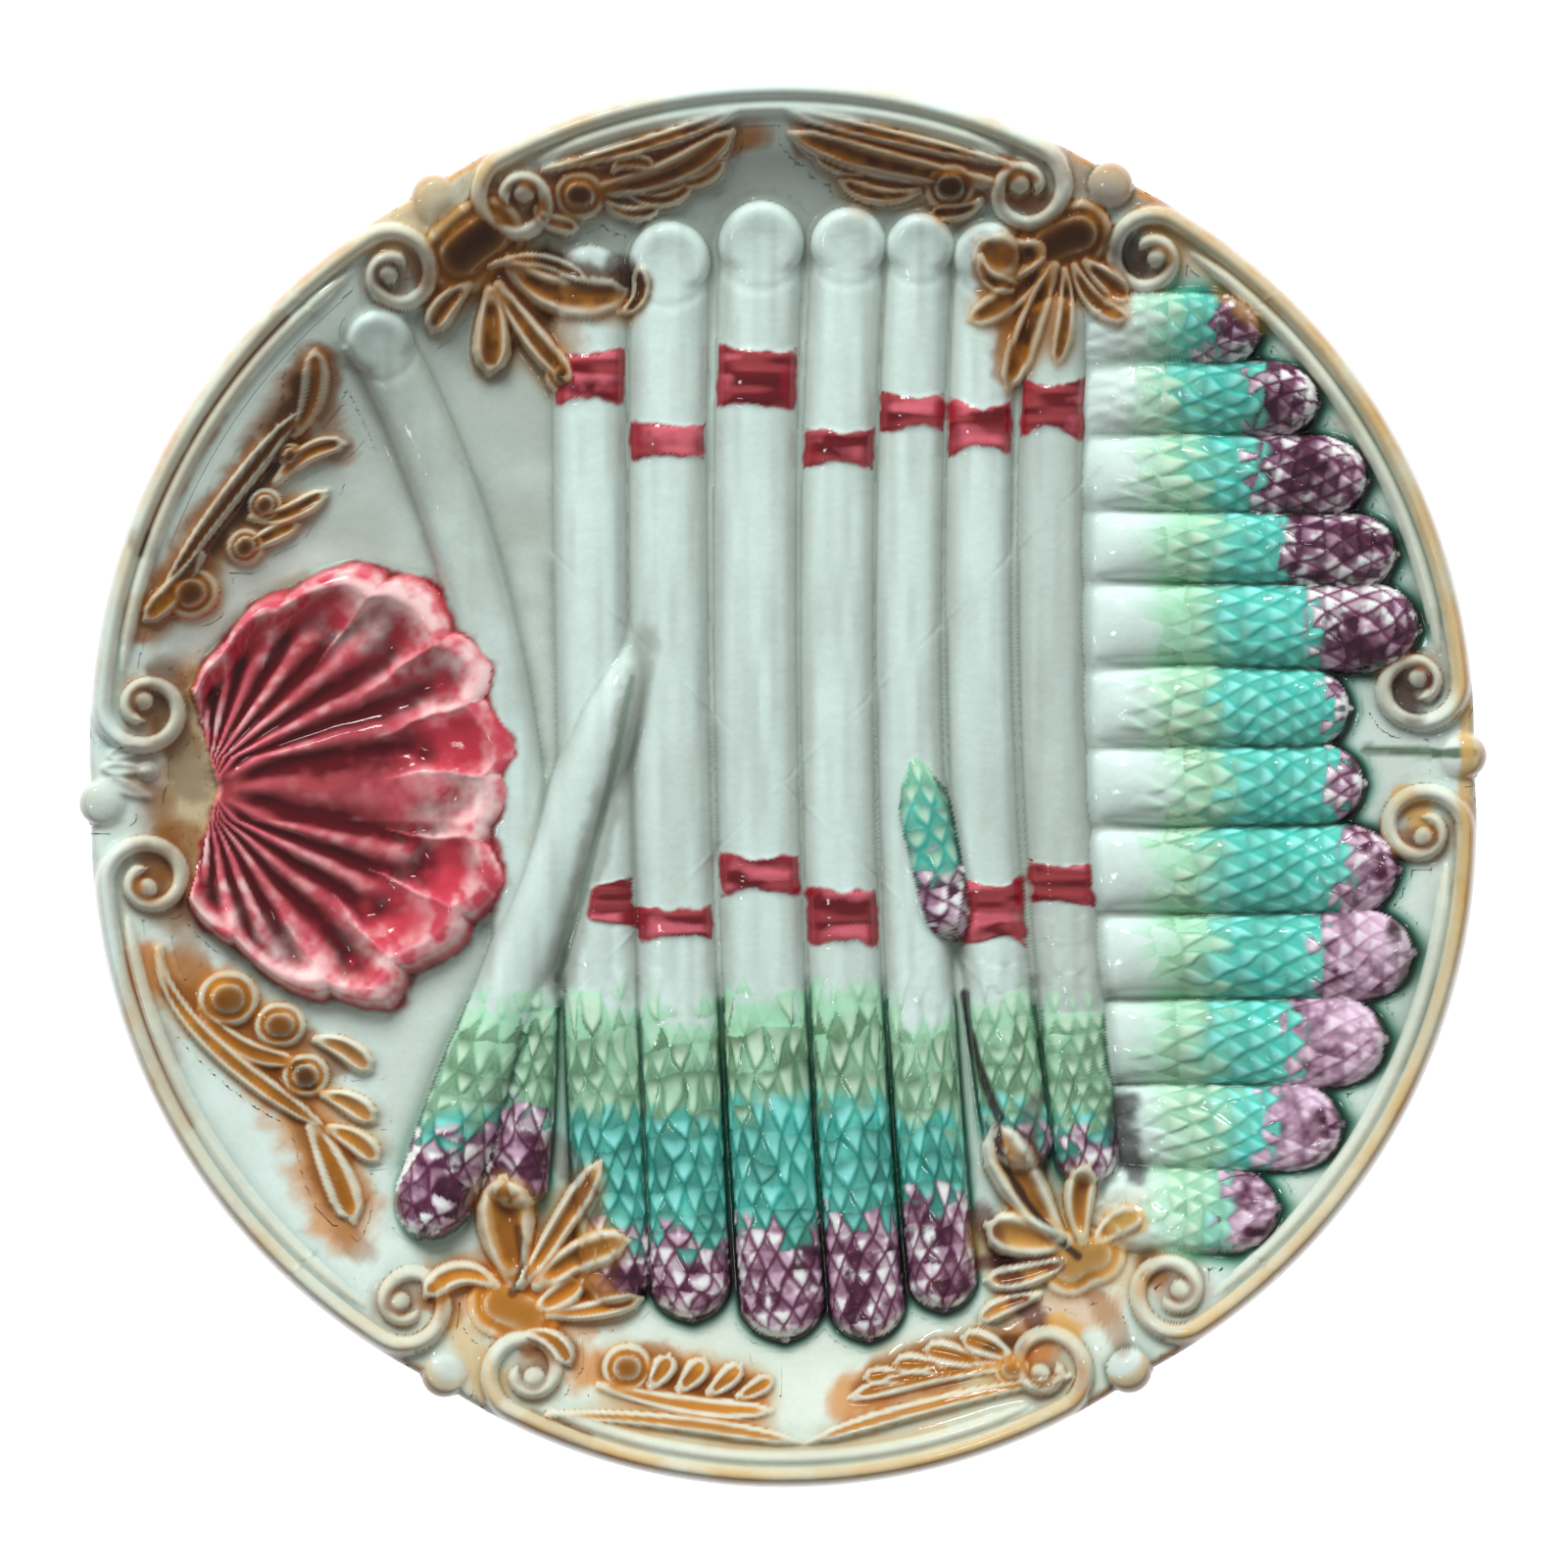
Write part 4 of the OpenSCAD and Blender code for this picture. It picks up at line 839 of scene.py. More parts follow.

# Washes, drips and runs: colour, then start, middle, end and half width in thousandths of the
# plate's radius, then strength
strokes = [
    # Broad washes under the leaves
    ["tan", -836, 138, -850, 0, -836, -141, 45, 0.65],
    ["brown", -906, 227, -765, 420, -671, 585, 40, 0.85],
    ["bark", -850, 300, -755, 430, -680, 568, 20, 0.75],
    ["brown", -713, 657, -819, 497, -909, 334, 14, 0.75],
    ["brown", -657, 604, -649, 529, -634, 470, 21, 0.6],
    ["amber", -892, -267, -749, -373, -624, -615, 50, 0.8],
    ["brown", -864, -294, -741, -389, -635, -590, 24, 0.75],
    ["brown", -766, -322, -696, -364, -641, -406, 22, 0.6],
    ["brown", -339, 842, -208, 870, -60, 930, 32, 0.8],
    ["bark", -278, 828, -166, 856, -68, 931, 14, 0.45],
    ["brown", 331, 850, 183, 880, 40, 930, 32, 0.8],
    ["bark", 253, 850, 141, 870, 43, 931, 14, 0.45],
    ["amber", -278, -836, -152, -839, -50, -870, 34, 0.8],
    ["brown", -250, -839, -166, -850, -54, -867, 18, 0.55],
    ["amber", 90, -880, 200, -835, 364, -800, 32, 0.8],
    ["brown", 113, -861, 225, -828, 336, -800, 18, 0.55],
    ["brown", -490, 724, -395, 706, -300, 590, 38, 0.5],
    ["brown", 330, 630, 380, 716, 470, 716, 38, 0.5],
    ["tan", -585, 836, -501, 864, -389, 906, 47, 0.5],
    ["amber", -460, -720, -361, -720, -280, -745, 50, 0.6],
    ["tan", 300, -660, 406, -674, 500, -694, 45, 0.5],
    ["amber", 331, -741, 392, -755, 462, -741, 33, 0.5],
    ["brown", -930, 138, -900, -1, -900, -141, 26, 0.4],
    ["brown", -960, -141, -930, -253, -870, -392, 18, 0.35],
    # Shadow beside the crossing spear
    ["shade", -194, 208, -261, -71, -322, -281, 22, 0.8],
    ["moss", -215, 150, -276, -120, -322, -281, 6, 0.45],
    # West rim
    ["brown", -870, 160, -890, 100, -860, 60, 30, 0.5],
    ["brown", -850, -80, -890, -120, -870, -190, 30, 0.5],
    ["bark", -881, 152, -861, 54, -842, -1, 28, 0.45],
    ["brown", -850, -85, -856, -169, -836, -267, 28, 0.5],
    ["brown", -920, -1, -878, -57, -906, -141, 22, 0.55],
    ["tan", -948, 138, -959, -1, -942, -225, 20, 0.12],
    ["brown", -696, 278, -766, 222, -816, 152, 25, 0.4],
    # North west
    ["bark", -911, 345, -909, 339, -906, 334, 20, 0.8],
    ["bark", -334, 749, -278, 719, -222, 719, 20, 0.8],
    ["brown", -515, 749, -501, 724, -484, 696, 31, 0.6],
    ["brown", -410, 836, -389, 816, -361, 805, 25, 0.6],
    ["brown", -306, 856, -283, 842, -264, 828, 20, 0.6],
    ["bark", -236, 736, -222, 724, -208, 710, 22, 0.75],
    ["tan", -613, 780, -543, 794, -487, 822, 42, 0.5],
    ["brown", -459, 766, -440, 749, -417, 724, 20, 0.6],
    # North
    ["brown", -138, 878, -82, 906, -27, 920, 17, 0.5],
    ["brown", 29, 906, 99, 878, 183, 850, 17, 0.5],
    ["bark", 227, 850, 237, 847, 247, 844, 15, 0.85],
    ["tan", -278, 948, -54, 981, 225, 950, 12, 0.3],
    # North east
    ["brown", 420, 878, 462, 850, 518, 822, 42, 0.6],
    ["bark", 476, 772, 490, 758, 501, 741, 25, 0.75],
    ["brown", 350, 829, 364, 814, 378, 797, 25, 0.65],
    ["brown", 331, 786, 308, 749, 286, 730, 17, 0.6],
    ["tan", 546, 780, 615, 738, 685, 669, 36, 0.5],
    ["brown", 294, 696, 322, 655, 308, 585, 18, 0.6],
    # East
    ["bark", 875, 130, 882, 117, 889, 105, 22, 0.85],
    ["tan", 886, -24, 895, -35, 903, -46, 24, 0.9],
    ["moss", 832, 49, 909, 43, 978, 43, 8, 0.85],
    ["wine", 920, 147, 923, 138, 924, 127, 13, 0.8],
    ["tan", 962, 334, 970, 82, 962, -225, 10, 0.75],
    ["brown", 964, -138, 967, -148, 969, -158, 13, 0.7],
    ["brown", 853, 152, 872, 166, 909, 172, 14, 0.5],
    ["brown", 867, -71, 895, -74, 925, -66, 13, 0.5],
    ["moss", 811, 557, 881, 417, 923, 250, 36, 0.3],
    ["moss", 881, -225, 895, -294, 867, -378, 33, 0.3],
    # South east
    ["slip", 260, -301, 274, -385, 308, -476, 7, 0.9],
    ["slip", 303, -490, 336, -581, 420, -674, 7, 0.9],
    ["wine", 286, -615, 322, -699, 364, -769, 20, 0.75],
    ["wine", 281, -685, 336, -682, 392, -688, 13, 0.8],
    ["slip", 490, -462, 482, -504, 504, -554, 22, 0.8],
    ["tan", 470, -624, 487, -624, 504, -624, 20, 0.85],
    ["brown", 518, -685, 526, -694, 535, -702, 20, 0.8],
    ["tan", 395, -769, 402, -775, 409, -780, 20, 0.85],
    ["brown", 434, -713, 462, -755, 476, -797, 20, 0.6],
    ["wine", 364, -448, 350, -504, 367, -560, 17, 0.6],
    # South
    ["brown", 141, -833, 225, -805, 331, -789, 22, 0.6],
    ["brown", 113, -867, 183, -853, 253, -844, 17, 0.55],
    ["bark", 294, -805, 311, -800, 331, -797, 13, 0.6],
    ["brown", -250, -830, -222, -833, -194, -844, 20, 0.6],
    ["brown", -152, -842, -96, -858, -40, -861, 18, 0.6],
    ["tan", -222, -909, 1, -945, 225, -917, 12, 0.4],
    # South west
    ["brown", -395, -595, -387, -646, -378, -699, 17, 0.8],
    ["brown", -297, -666, -292, -671, -286, -677, 15, 0.7],
    ["bark", -378, -636, -373, -685, -385, -727, 7, 0.7],
    ["brown", -355, -800, -334, -805, -311, -811, 18, 0.75],
    ["brown", -355, -906, -320, -917, -283, -925, 20, 0.7],
    ["brown", -501, -733, -484, -741, -470, -761, 20, 0.7],
    ["tan", -459, -783, -437, -825, -417, -853, 28, 0.6],
    ["brown", -222, -819, -188, -811, -152, -828, 17, 0.55],
    ["wine", -334, -518, -300, -554, -272, -610, 22, 0.5],
    ["brown", -627, -532, -627, -615, -596, -666, 20, 0.55],
    ["brown", -780, -294, -791, -320, -786, -342, 18, 0.7],
    ["brown", -730, -336, -719, -350, -710, -364, 14, 0.7],
    ["bark", -688, -406, -681, -417, -677, -431, 13, 0.8],
    ["brown", -934, -253, -906, -350, -842, -476, 17, 0.55],
]
# A stroke is a soft band with a wandering edge
flatGlaze = glaze.reshape(-1, 3)
for colour, *row in strokes:
    start, middle, end, half, strength = unpack(row)
    pick, _, side, _ = near(bent(start, middle, end, 14), 1.7 * half * plateRadius)
    q = abs(side) / (half * plateRadius) + 0.4 * fine.flat[pick] + 0.25 * wander.flat[pick]
    amount = (strength * (1 - smooth(0.5, 1.25, q)))[:, None]
    flatGlaze[pick] = flatGlaze[pick] * (1 - amount) + glazes[colour] * amount
glaze = flatGlaze.reshape(glaze.shape)

# Seams, crests and berries over the washes, then the lip, the rim's worn edge and the knobs
paint("bark", leafy * (1 - berry) * dark * seam * np.clip(0.35 + 0.8 * fine + 0.4 * wander, 0, 0.75))
crest = np.clip(ridge * 0.9 - 0.15 + 0.3 * fine, 0, 0.75) * (1 - berry * light)
paint("butter", brownish * np.clip(crest * (1 - 0.5 * leafy * dark) + 0.3 * arcs, 0, 0.75))
paint("white", leafy * np.clip(light * 1.1 - 0.6 + 0.5 * fine, 0, 1) * (abs(across) > 0.6)
      * (1 - berry) * 0.35 * (1.1 - dark))
paint("bark", berry * light * (0.35 + 0.6 * dark))
southEast = smooth(-0.3, 0.5, 0.8 * shareX - 0.6 * shareY)
paint("tan", lipTan * np.clip(0.2 + 0.45 * southEast + 0.5 * wander, 0, 0.75))
paint("amber", smooth(1.9, 0.9, fromEdge + 0.5 * fine) * np.clip(0.35 + 0.8 * wander, 0, 0.7))
paint("cream", smooth(0.925, 0.955, -shareX) * np.clip(0.85 - 0.4 * wander, 0, 1))
paint("cream", smooth(0.925, 0.955, shareY) * np.clip(0.6 - 0.5 * wander, 0, 1))
knobs = ownedBy("rim_knob")
paint("shade", knobs * np.clip(0.12 + 0.4 * wander, 0, 0.4))
paint("pine", beside(knobs, 1) * (shareX > 0) * np.clip(0.3 + 0.8 * wander, 0, 0.6))

# Shell: crimson runs out over the clay, dark in the scoops, pink and white on ribs and ruffles
red = ownedBy("sauce_shell")
paint("crimson", smooth(0.22, 0.6, spread(red, 1.5) + 0.3 * fine + 0.12 * wander) * 0.95)
paint("rose", red * smooth(0.4, 0.85, way + 0.1 * wander) * 0.85)
paint("pink", red * np.clip(light * (0.75 + 0.5 * wander) * (0.45 + 0.55 * smooth(0.3, 0.7, way))
                            + 0.35 * fine - 0.1, 0, 0.85))
paint("wine", red * np.clip(seam * (1.35 + 0.8 * fine) + 0.35 * wet - 0.1 + 0.25 * wander
                            - 0.3 * smooth(0.6, 0.9, way), 0, 0.95))
paint("blush", red * np.clip(light * smooth(0.55, 0.85, way) * (0.5 + 1.6 * fine + 0.6 * tone), 0, 0.95))
paint("pink", red * ridge * 0.7)
paint("blush", red * ridge * np.clip(0.25 + 1.2 * fine, 0, 0.8) * smooth(0.1, 0.5, way))

# Ties: crimson with darker and lighter streaks along the band
tied = ownedBy("upper_tie", "lower_tie")
paint("crimson", smooth(0.3, 0.55, spread(tied, 0.9) + 0.28 * fine) * 0.95)
streaks = patches(gridX / 3, gridY * 1.6, 2, 71)
paint("wine", tied * np.clip(0.45 + 1.3 * streaks, 0, 0.85))
bands = patches(gridX / 7, gridY * 1.1, 2, 73)
paint("pink", tied * smooth(1, 0.5, abs(across) + 0.4 * wander) * np.clip(2 * bands + 0.5 * fine, 0, 0.85))
paint("crimson", tied * smooth(0.6, 0.9, abs(across) + 0.3 * fine) * 0.7)
print("colours laid")

# Node group shared by all glazes: mottling, darker where the glaze pools, fine grain, wavy skin
finishGroup = bpy.data.node_groups.new("glazeDepth", "ShaderNodeTree")
sockets = finishGroup.interface
for label, side, kind in (
        ("Glaze", "INPUT", "Color"), ("Pool", "INPUT", "Float"), ("Depth", "INPUT", "Float"),
        ("Mottle", "INPUT", "Float"), ("Color", "OUTPUT", "Color"), ("Roughness", "OUTPUT", "Float"),
        ("Height", "OUTPUT", "Float")):
    sockets.new_socket(label, in_out=side, socket_type="NodeSocket" + kind)


def node(tree, kind, **settings):
    made = tree.nodes.new(kind)
    for key, value in settings.items():
        setattr(made, key, value)
    return made


def feed(tree, *pairs):
    # Each pair is a socket and what goes into it: another node's output or a value
    for socket, value in pairs:
        if hasattr(value, "links"):
            tree.links.new(value, socket)
        else:
            socket.default_value = value


def reckon(operation, a, b, clamp=False):
    made = node(finishGroup, "ShaderNodeMath", operation=operation, use_clamp=clamp)
    feed(finishGroup, (made.inputs[0], a), (made.inputs[1], b))
    return made.outputs[0]


def mixColour(blend, factor, a, b):
    made = node(finishGroup, "ShaderNodeMix", data_type="RGBA", blend_type=blend)
    feed(finishGroup, (made.inputs[0], factor), (made.inputs[6], a), (made.inputs[7], b))
    return made.outputs[2]


def noise(scale, detail):
    made = node(finishGroup, "ShaderNodeTexNoise")
    feed(finishGroup, (made.inputs["Vector"], coords), (made.inputs["Scale"], scale),
         (made.inputs["Detail"], detail), (made.inputs["Roughness"], 0.55))
    return made.outputs["Fac"]


group = {"grainTone": 0.12, "roughness": 0.05, "roughnessSpan": 0.08, "grainHeight": 0.25}
groupIn = node(finishGroup, "NodeGroupInput").outputs
groupOut = node(finishGroup, "NodeGroupOutput").inputs
coords = node(finishGroup, "ShaderNodeTexCoord").outputs["Object"]
coarse = noise(90, 3)
grain = noise(900, 2)
waves = noise(210, 2)
darker = mixColour("MULTIPLY", 1.0, groupIn["Glaze"], groupIn["Glaze"])
poolAmount = reckon("MULTIPLY", groupIn["Pool"], groupIn["Depth"], True)
toned = mixColour("MIX", poolAmount, groupIn["Glaze"], darker)
mottle = reckon("MULTIPLY", reckon("SUBTRACT", coarse, 0.5), groupIn["Mottle"])
grainTone = reckon("MULTIPLY", reckon("SUBTRACT", grain, 0.5), group["grainTone"])
toneSum = reckon("ADD", reckon("ADD", mottle, grainTone), 1.0)
toneColour = node(finishGroup, "ShaderNodeCombineColor")
feed(finishGroup, *((toneColour.inputs[k], toneSum) for k in range(3)),
     (groupOut["Color"], mixColour("MULTIPLY", 1.0, toned, toneColour.outputs[0])),
     (groupOut["Roughness"],
      reckon("ADD", reckon("MULTIPLY", coarse, group["roughnessSpan"]), group["roughness"])),
     (groupOut["Height"],
      reckon("ADD", reckon("MULTIPLY", waves, 1.0), reckon("MULTIPLY", grain, group["grainHeight"]))))


def glazeMaterial(name, depth, mottleShare, bump):
    material = bpy.data.materials.new(name)
    material.use_nodes = True
    tree = material.node_tree
    shader = tree.nodes["Principled BSDF"].inputs
    glazed = node(tree, "ShaderNodeGroup", node_tree=finishGroup)
    colour = node(tree, "ShaderNodeAttribute", attribute_name="glaze")
    poolAttribute = node(tree, "ShaderNodeAttribute", attribute_name="pool")
    bumpNode = node(tree, "ShaderNodeBump")
    feed(tree, (shader["IOR"], 1.5), (shader["Coat Weight"], 0.6), (shader["Coat Roughness"], 0.03),
         (glazed.inputs["Glaze"], colour.outputs["Color"]),
         (glazed.inputs["Pool"], poolAttribute.outputs["Fac"]),
         (glazed.inputs["Depth"], depth), (glazed.inputs["Mottle"], mottleShare),
         (shader["Base Color"], glazed.outputs["Color"]),
         (shader["Roughness"], glazed.outputs["Roughness"]),
         (bumpNode.inputs["Strength"], 1), (bumpNode.inputs["Distance"], bump),
         (bumpNode.inputs["Height"], glazed.outputs["Height"]),
         (shader["Normal"], bumpNode.outputs["Normal"]))
    return material


# Depth of the pools, mottling and height of the skin's waves in metres, by slot
finishes = {
    "body_glaze": (0.5, 0.12, 0.00012), "scroll_glaze": (0.8, 0.3, 0.00012),
    "knob_glaze": (0.6, 0.2, 0.0001), "spear_glaze": (0.6, 0.2, 0.00014),
    "tip_glaze": (0.8, 0.3, 0.00012), "tie_glaze": (0.8, 0.3, 0.0001),
    "shell_glaze": (0.8, 0.3, 0.00012), "leaf_glaze": (0.9, 0.35, 0.00012),
    "foot_clay": (0.3, 0.3, 0.0002),
}
for slotName, values in finishes.items():
    what, kind = slotName.split("_")
    finishes[slotName] = glazeMaterial(what + kind.title(), *values)
slotOf = {"plate_body": "body_glaze", "rim_scroll": "scroll_glaze", "rim_knob": "knob_glaze",
          "spear": "spear_glaze", "slanting": "spear_glaze", "crossing": "spear_glaze",
          "loose": "tip_glaze", "side": "tip_glaze", "upper": "tie_glaze", "lower": "tie_glaze",
          "sauce": "shell_glaze", "palmette": "leaf_glaze", "spray": "leaf_glaze"}


def makePiece(name, nodeName, slotName, points, faces, normals, colours, pools):
    # points n by 3 in mm; faces a list of arrays, each of triangles or of four-sided faces
    mesh = bpy.data.meshes.new(name)
    mesh.vertices.add(len(points))
    mesh.vertices.foreach_set("co", (points * mm).astype(np.float32).ravel())
    corners = np.concatenate([f.ravel() for f in faces])
    sizes = np.concatenate([np.full(len(f), f.shape[1]) for f in faces])
    mesh.loops.add(len(corners))
    mesh.loops.foreach_set("vertex_index", corners.astype(np.int32))
    mesh.polygons.add(len(sizes))
    mesh.polygons.foreach_set("loop_start", np.concatenate([[0], np.cumsum(sizes)[:-1]]).astype(np.int32))
    mesh.update(calc_edges=True)
    mesh.shade_smooth()
    mesh.normals_split_custom_set_from_vertices(normals)
    colourData = mesh.attributes.new("glaze", "FLOAT_COLOR", "POINT")
    colourData.data.foreach_set(
        "color", np.concatenate([colours, np.ones((len(colours), 1))], 1).astype(np.float32).ravel())
    mesh.attributes.new("pool", "FLOAT", "POINT").data.foreach_set("value", pools.astype(np.float32))
    piece = bpy.data.objects.new(name, mesh)
    bpy.context.scene.collection.objects.link(piece)
    mesh.materials.append(finishes[slotName])
    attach(piece, "root")
    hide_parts(nodeName)


# Every grid cell belongs to one piece; cells that touch only corner to corner are given up
cellOwner = owner[:-1, :-1].copy()
for a, b in (((1, 0), (0, 1)), ((1, 1), (0, 0))):
    votes = owner[a[0]:a[0] + cellOwner.shape[0], a[1]:a[1] + cellOwner.shape[1]]
    cellOwner = np.where(cellOwner == 0, votes, cellOwner)


def mendCorners():
    # Two cells of one piece that meet only at a corner: the first of them goes back to the body
    for _ in range(8):
        first, right = cellOwner[:-1, :-1], cellOwner[1:, :-1]
        above, corner = cellOwner[:-1, 1:], cellOwner[1:, 1:]
        rising = (first == corner) & (right != first) & (above != first) & (first > 0)
        falling = (right == above) & (first != right) & (corner != right) & (right > 0)
        if not (rising.any() or falling.any()):
            break
        cellOwner[:-1, :-1][rising] = 0
        cellOwner[1:, :-1][falling] = 0


mendCorners()

# Each relief also takes a narrow strip of the body beside it, where its glaze runs out
for _ in range(grid["strip"]):
    for axis, step in ((0, 1), (0, -1), (1, 1), (1, -1)):
        moved = np.roll(cellOwner, step, axis)
        edge = [slice(None)] * 2
        edge[axis] = slice(0, 1) if step > 0 else slice(-1, None)
        moved[tuple(edge)] = 0
        cellOwner = np.where(cellOwner == 0, moved, cellOwner)
mendCorners()

# Each relief reaches down into the clay, and the body runs on under it
under = {"least": 0.02, "intoClay": 0.6, "body": 0.15, "bodyEdge": 0.03, "edgeReach": 1.2}
points = np.stack([gridX, gridY, skin], -1).reshape(-1, 3)
flatClay = clay.reshape(-1)
flatGlaze = glaze.reshape(-1, 3)
flatPool = np.clip(pool, 0, 1).reshape(-1)
flatUp = upward.reshape(-1, 3)
width = 2 * n + 1
for k, name in enumerate(pieceNames[1:], 1):
    cells = cellOwner == k
    ci, cj = np.nonzero(cells)
    firstId = ci * width + cj
    quad = np.stack([firstId, firstId + width, firstId + width + 1, firstId + 1], 1)
    used, quadIds = np.unique(quad, return_inverse=True)
    quadIds = quadIds.reshape(-1, 4)
    count = len(used)
    walls = []
    padded = np.pad(cells, 1)
    for edge, (di, dj) in enumerate(((0, -1), (1, 0), (0, 1), (-1, 0))):
        bare = ~padded[ci + 1 + di, cj + 1 + dj]
        a, b = quadIds[bare, edge], quadIds[bare, (edge + 1) % 4]
        walls.append(np.stack([b, a, a + count, b + count], 1))
    top = points[used]
    bottom = top.copy()
    bottom[:, 2] = np.minimum(top[:, 2] - under["least"], flatClay[used] - under["intoClay"])
    slotName = next(slot for start, slot in slotOf.items() if name.startswith(start))
    makePiece(name + "Glazed", name, slotName, np.concatenate([top, bottom]),
              [quadIds, quadIds[:, ::-1] + count] + walls,
              np.concatenate([flatUp[used], np.zeros((count, 3))]),
              np.concatenate([flatGlaze[used]] * 2), np.concatenate([flatPool[used]] * 2))
print("reliefs made:", len(pieceNames) - 1)

# The body: every third grid point on top, then the lip and the underside as rings
isRelief = np.pad(cellOwner > 0, 1)
covered = isRelief[:-1, :-1] & isRelief[1:, :-1] & isRelief[:-1, 1:] & isRelief[1:, 1:]
bodyTop = np.where(covered, base - under["body"], skin)
close = covered & (spread(~covered, under["edgeReach"]) > 0.002)
bodyTop = np.where(close, lowest(skin, 4) - under["bodyEdge"], bodyTop)
pickStep = (slice(None, None, grid["bodyStep"]),) * 2
m = 2 * n // grid["bodyStep"] + 1
topPoints = np.stack([gridX, gridY, bodyTop], -1)[pickStep].reshape(-1, 3)
topUp = upward[pickStep].reshape(-1, 3)
topGlaze = glaze[pickStep].reshape(-1, 3)
topPool = np.clip(pool, 0, 1)[pickStep].reshape(-1)
ids = np.arange(m * m).reshape(m, m)
quads = np.stack([ids[:-1, :-1], ids[1:, :-1], ids[1:, 1:], ids[:-1, 1:]], -1).reshape(-1, 4)
# Ids round the edge, anticlockwise from the lower right corner
edgeIds = np.concatenate([ids[-1, :-1], ids[:0:-1, -1], ids[0, :0:-1], ids[:-1, 0]])
rimX, rimY = topPoints[edgeIds, 0], topPoints[edgeIds, 1]
rimAngle = np.arctan2(rimY, rimX)
rimReach = np.hypot(rimX, rimY)
allPoints = [topPoints]


def addRing(x, y, z):
    # Adds a ring of points and gives their ids
    first = sum(len(part) for part in allPoints)
    allPoints.append(np.stack([x, y, z], 1))
    return np.arange(first, first + len(z))


def bandsOf(loops):
    # Four-sided faces between each ring and the next
    return [np.stack([upper, lower, np.roll(lower, -1), np.roll(upper, -1)], 1)
            for upper, lower in zip(loops[:-1], loops[1:])]


# The lip's outer side, upright, and the round under it
rimClay = clayHeight(rimReach)
halfUp = rimClay - dish["lipRadius"] - (dish["wall"] - 2 * dish["lipRadius"]) * 0.5
loops = [edgeIds, addRing(rimX, rimY, halfUp),
         addRing(rimX, rimY, rimClay - dish["wall"] + dish["lipRadius"])]
for step in (0.35, 0.7, 1):
    a = step * math.pi / 2
    reach = rimReach - dish["lipRadius"] * (1 - math.cos(a))
    z = clayHeight(reach) - dish["wall"] + dish["lipRadius"] * (1 - math.sin(a))
    loops.append(addRing(reach * np.cos(rimAngle), reach * np.sin(rimAngle), z))
# Four rim points to one, then even rings to the centre
fewAngle = rimAngle[::4]
few = len(fewAngle)
lastReach = np.hypot(allPoints[-1][::4, 0], allPoints[-1][::4, 1])
fewLoops = []
for share in np.concatenate([np.linspace(0.985, 0.7, 18), np.linspace(0.64, 0.06, 9)]):
    reach = share * (lastReach * smooth(0.6, 1, share) + plateRadius * (1 - smooth(0.6, 1, share)))
    fewLoops.append(addRing(reach * np.cos(fewAngle), reach * np.sin(fewAngle),
                            clayHeight(reach) - dish["wall"]))
first, last = fewLoops[0], fewLoops[-1]
outer = loops[-1].reshape(few, 4)
fan = np.column_stack([outer, np.roll(outer[:, 0], -1)])
centreId = addRing([0], [0], [dish["floorHeight"] - dish["wall"]])
triangles = [np.stack([fan[:, k], first, fan[:, k + 1]], 1) for k in range(4)] + [
    np.stack([fan[:, 4], first, np.roll(first, -1)], 1),
    np.stack([last, np.full(few, centreId), np.roll(last, -1)], 1)]
allPoints = np.concatenate(allPoints)
extra = len(allPoints) - m * m
makePiece("plateBodyGlazed", "plate_body", "body_glaze", allPoints,
          [quads] + bandsOf(loops) + bandsOf(fewLoops) + triangles,
          np.concatenate([topUp, np.zeros((extra, 3))]),
          np.concatenate([topGlaze, np.tile(glazes["cream"], (extra, 1))]),
          np.concatenate([topPool, np.zeros(extra)]))
print("body made")

# The foot's section, from inside at the top down to the flat and up again outside: reach and height
foot = {"outer": 70, "flat": 5, "height": 6, "draft": 1, "flare": 2.2, "flareFrom": 1.2, "intoClay": 0.3,
        "steps": 240, "clay": tint(205, 190, 160)}
inside, outside = foot["outer"] - foot["flat"], foot["outer"]
profile = np.array([
    [inside - 2 * foot["draft"] - foot["flare"], foot["height"] + foot["intoClay"]],
    [inside - 2 * foot["draft"], foot["height"] - foot["flareFrom"]],
    [inside - 1.3 * foot["draft"], 1.4],
    [inside - 0.9 * foot["draft"], 0.4],
    [inside - 0.4 * foot["draft"], 0],
    [outside - 1.6 * foot["draft"], 0],
    [outside - 1.1 * foot["draft"], 0.4],
    [outside - 0.7 * foot["draft"], 1.4],
    [outside - 0.1, foot["height"] - foot["flareFrom"]],
    [outside + foot["flare"], foot["height"] + foot["intoClay"]]])
turns = np.linspace(0, 2 * math.pi, foot["steps"], endpoint=False)[:, None]
footPoints = np.stack([
    profile[:, 0] * np.cos(turns), profile[:, 0] * np.sin(turns),
    np.broadcast_to(profile[:, 1], (foot["steps"], len(profile)))], -1).reshape(-1, 3)
footIds = np.arange(len(footPoints)).reshape(foot["steps"], -1)
nextTurn = np.roll(footIds, -1, 0)
footFaces = np.stack([footIds, np.roll(footIds, -1, 1), np.roll(nextTurn, -1, 1), nextTurn], -1)
makePiece("footRingGlazed", "foot_ring", "foot_clay", footPoints, [footFaces.reshape(-1, 4)[:, ::-1]],
          np.zeros((len(footPoints), 3)), np.tile(foot["clay"], (len(footPoints), 1)),
          np.zeros(len(footPoints)))
print("foot made")

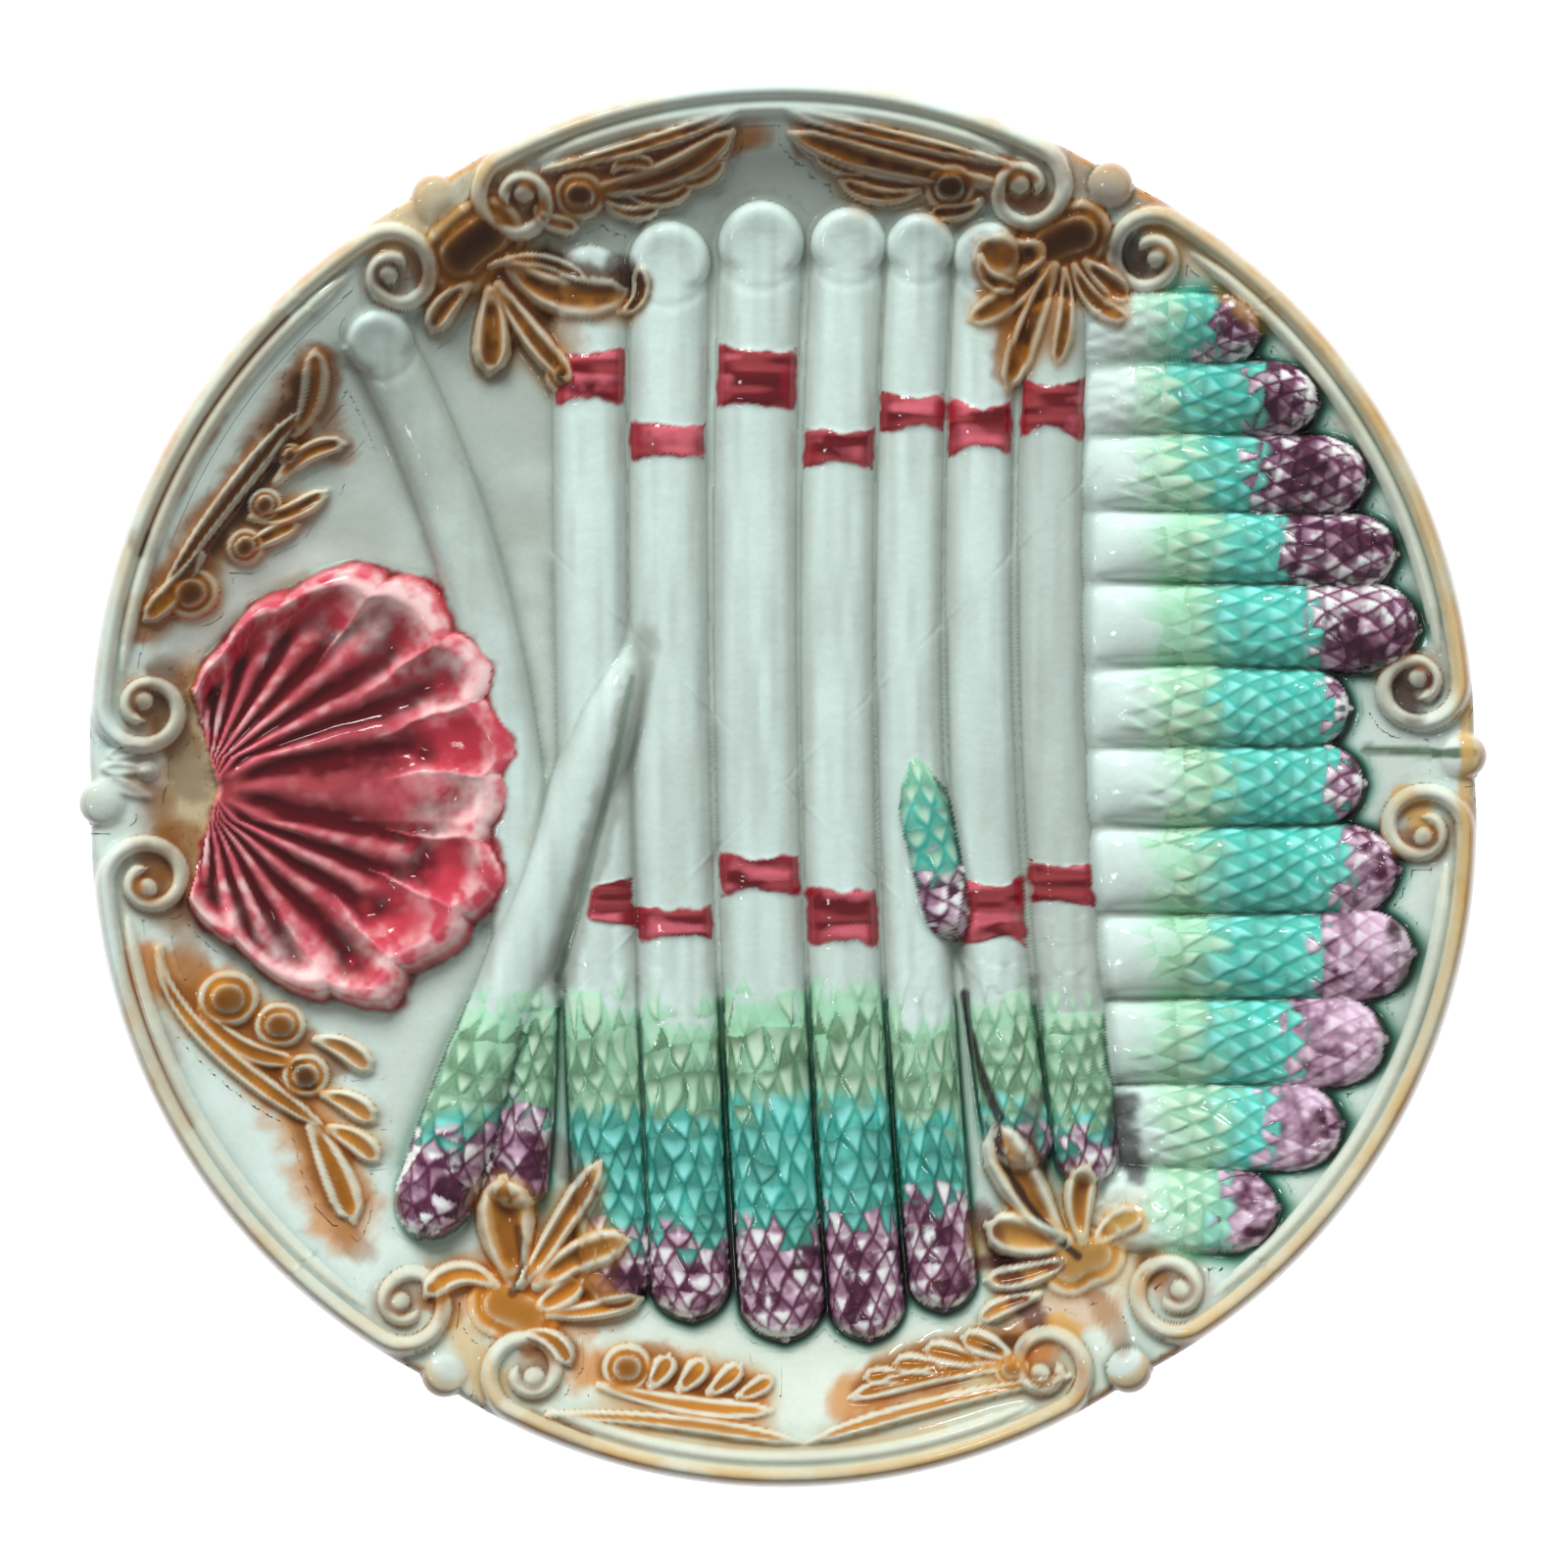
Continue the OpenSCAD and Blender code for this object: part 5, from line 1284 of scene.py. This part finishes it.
# White floor just under the foot, a large window at the back, a weak fill from the east, two glints
stage = {"floorHalf": 3, "floorDrop": 0.0003, "floorGrey": 0.4, "sky": (1, 0.98, 0.93, 1), "skyStrength": 0.2}
floorMesh = bpy.data.meshes.new("floor")
floorMesh.from_pydata([(x * stage["floorHalf"], y * stage["floorHalf"], -stage["floorDrop"])
                       for x, y in ((-1, -1), (1, -1), (1, 1), (-1, 1))], [], [(0, 1, 2, 3)])
floor = bpy.data.objects.new("floor", floorMesh)
bpy.context.scene.collection.objects.link(floor)
floorPaint = bpy.data.materials.new("floorPaint")
floorPaint.use_nodes = True
floorShader = floorPaint.node_tree.nodes["Principled BSDF"].inputs
feed(floorPaint.node_tree, (floorShader["Base Color"], (*[stage["floorGrey"]] * 3, 1)),
     (floorShader["Emission Color"], (1, 1, 1, 1)), (floorShader["Emission Strength"], 1))
floorMesh.materials.append(floorPaint)
floor.visible_diffuse = False
floor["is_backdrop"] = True


def window(name, place, width, height, energy, colour, glossy=True):
    lamp = bpy.data.lights.new(name, "AREA")
    lamp.shape = "RECTANGLE"
    lamp.size, lamp.size_y = width, height
    lamp.energy = energy
    lamp.color = colour
    lampObject = bpy.data.objects.new(name, lamp)
    bpy.context.scene.collection.objects.link(lampObject)
    lampObject.location = place
    lampObject.rotation_euler = (-Vector(place)).to_track_quat("-Z", "Y").to_euler()
    lampObject.visible_glossy = glossy


window("window", (-0.55, 1.7, 1.18), 1.3, 0.9, 60, (0.95, 1, 0.99), False)
window("fill", (1.7, 0.5, 1.2), 1, 0.8, 9, (0.95, 1, 1), False)
window("glint", (-0.3, 0.9, 1), 0.14, 0.14, 1, (1, 1, 1))
window("glintTwo", (-0.6, -0.2, 1.1), 0.1, 0.1, 0.3, (1, 1, 1))
world = bpy.data.worlds.new("studio")
world.use_nodes = True
sky = world.node_tree.nodes["Background"].inputs
feed(world.node_tree, (sky["Color"], stage["sky"]), (sky["Strength"], stage["skyStrength"]))
bpy.context.scene.world = world
bpy.context.scene.view_settings.view_transform = "Standard"
print("stage set")

sizes = {"cad": [list(corner) for corner in cadBox], "visual": [list(corner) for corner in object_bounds()]}
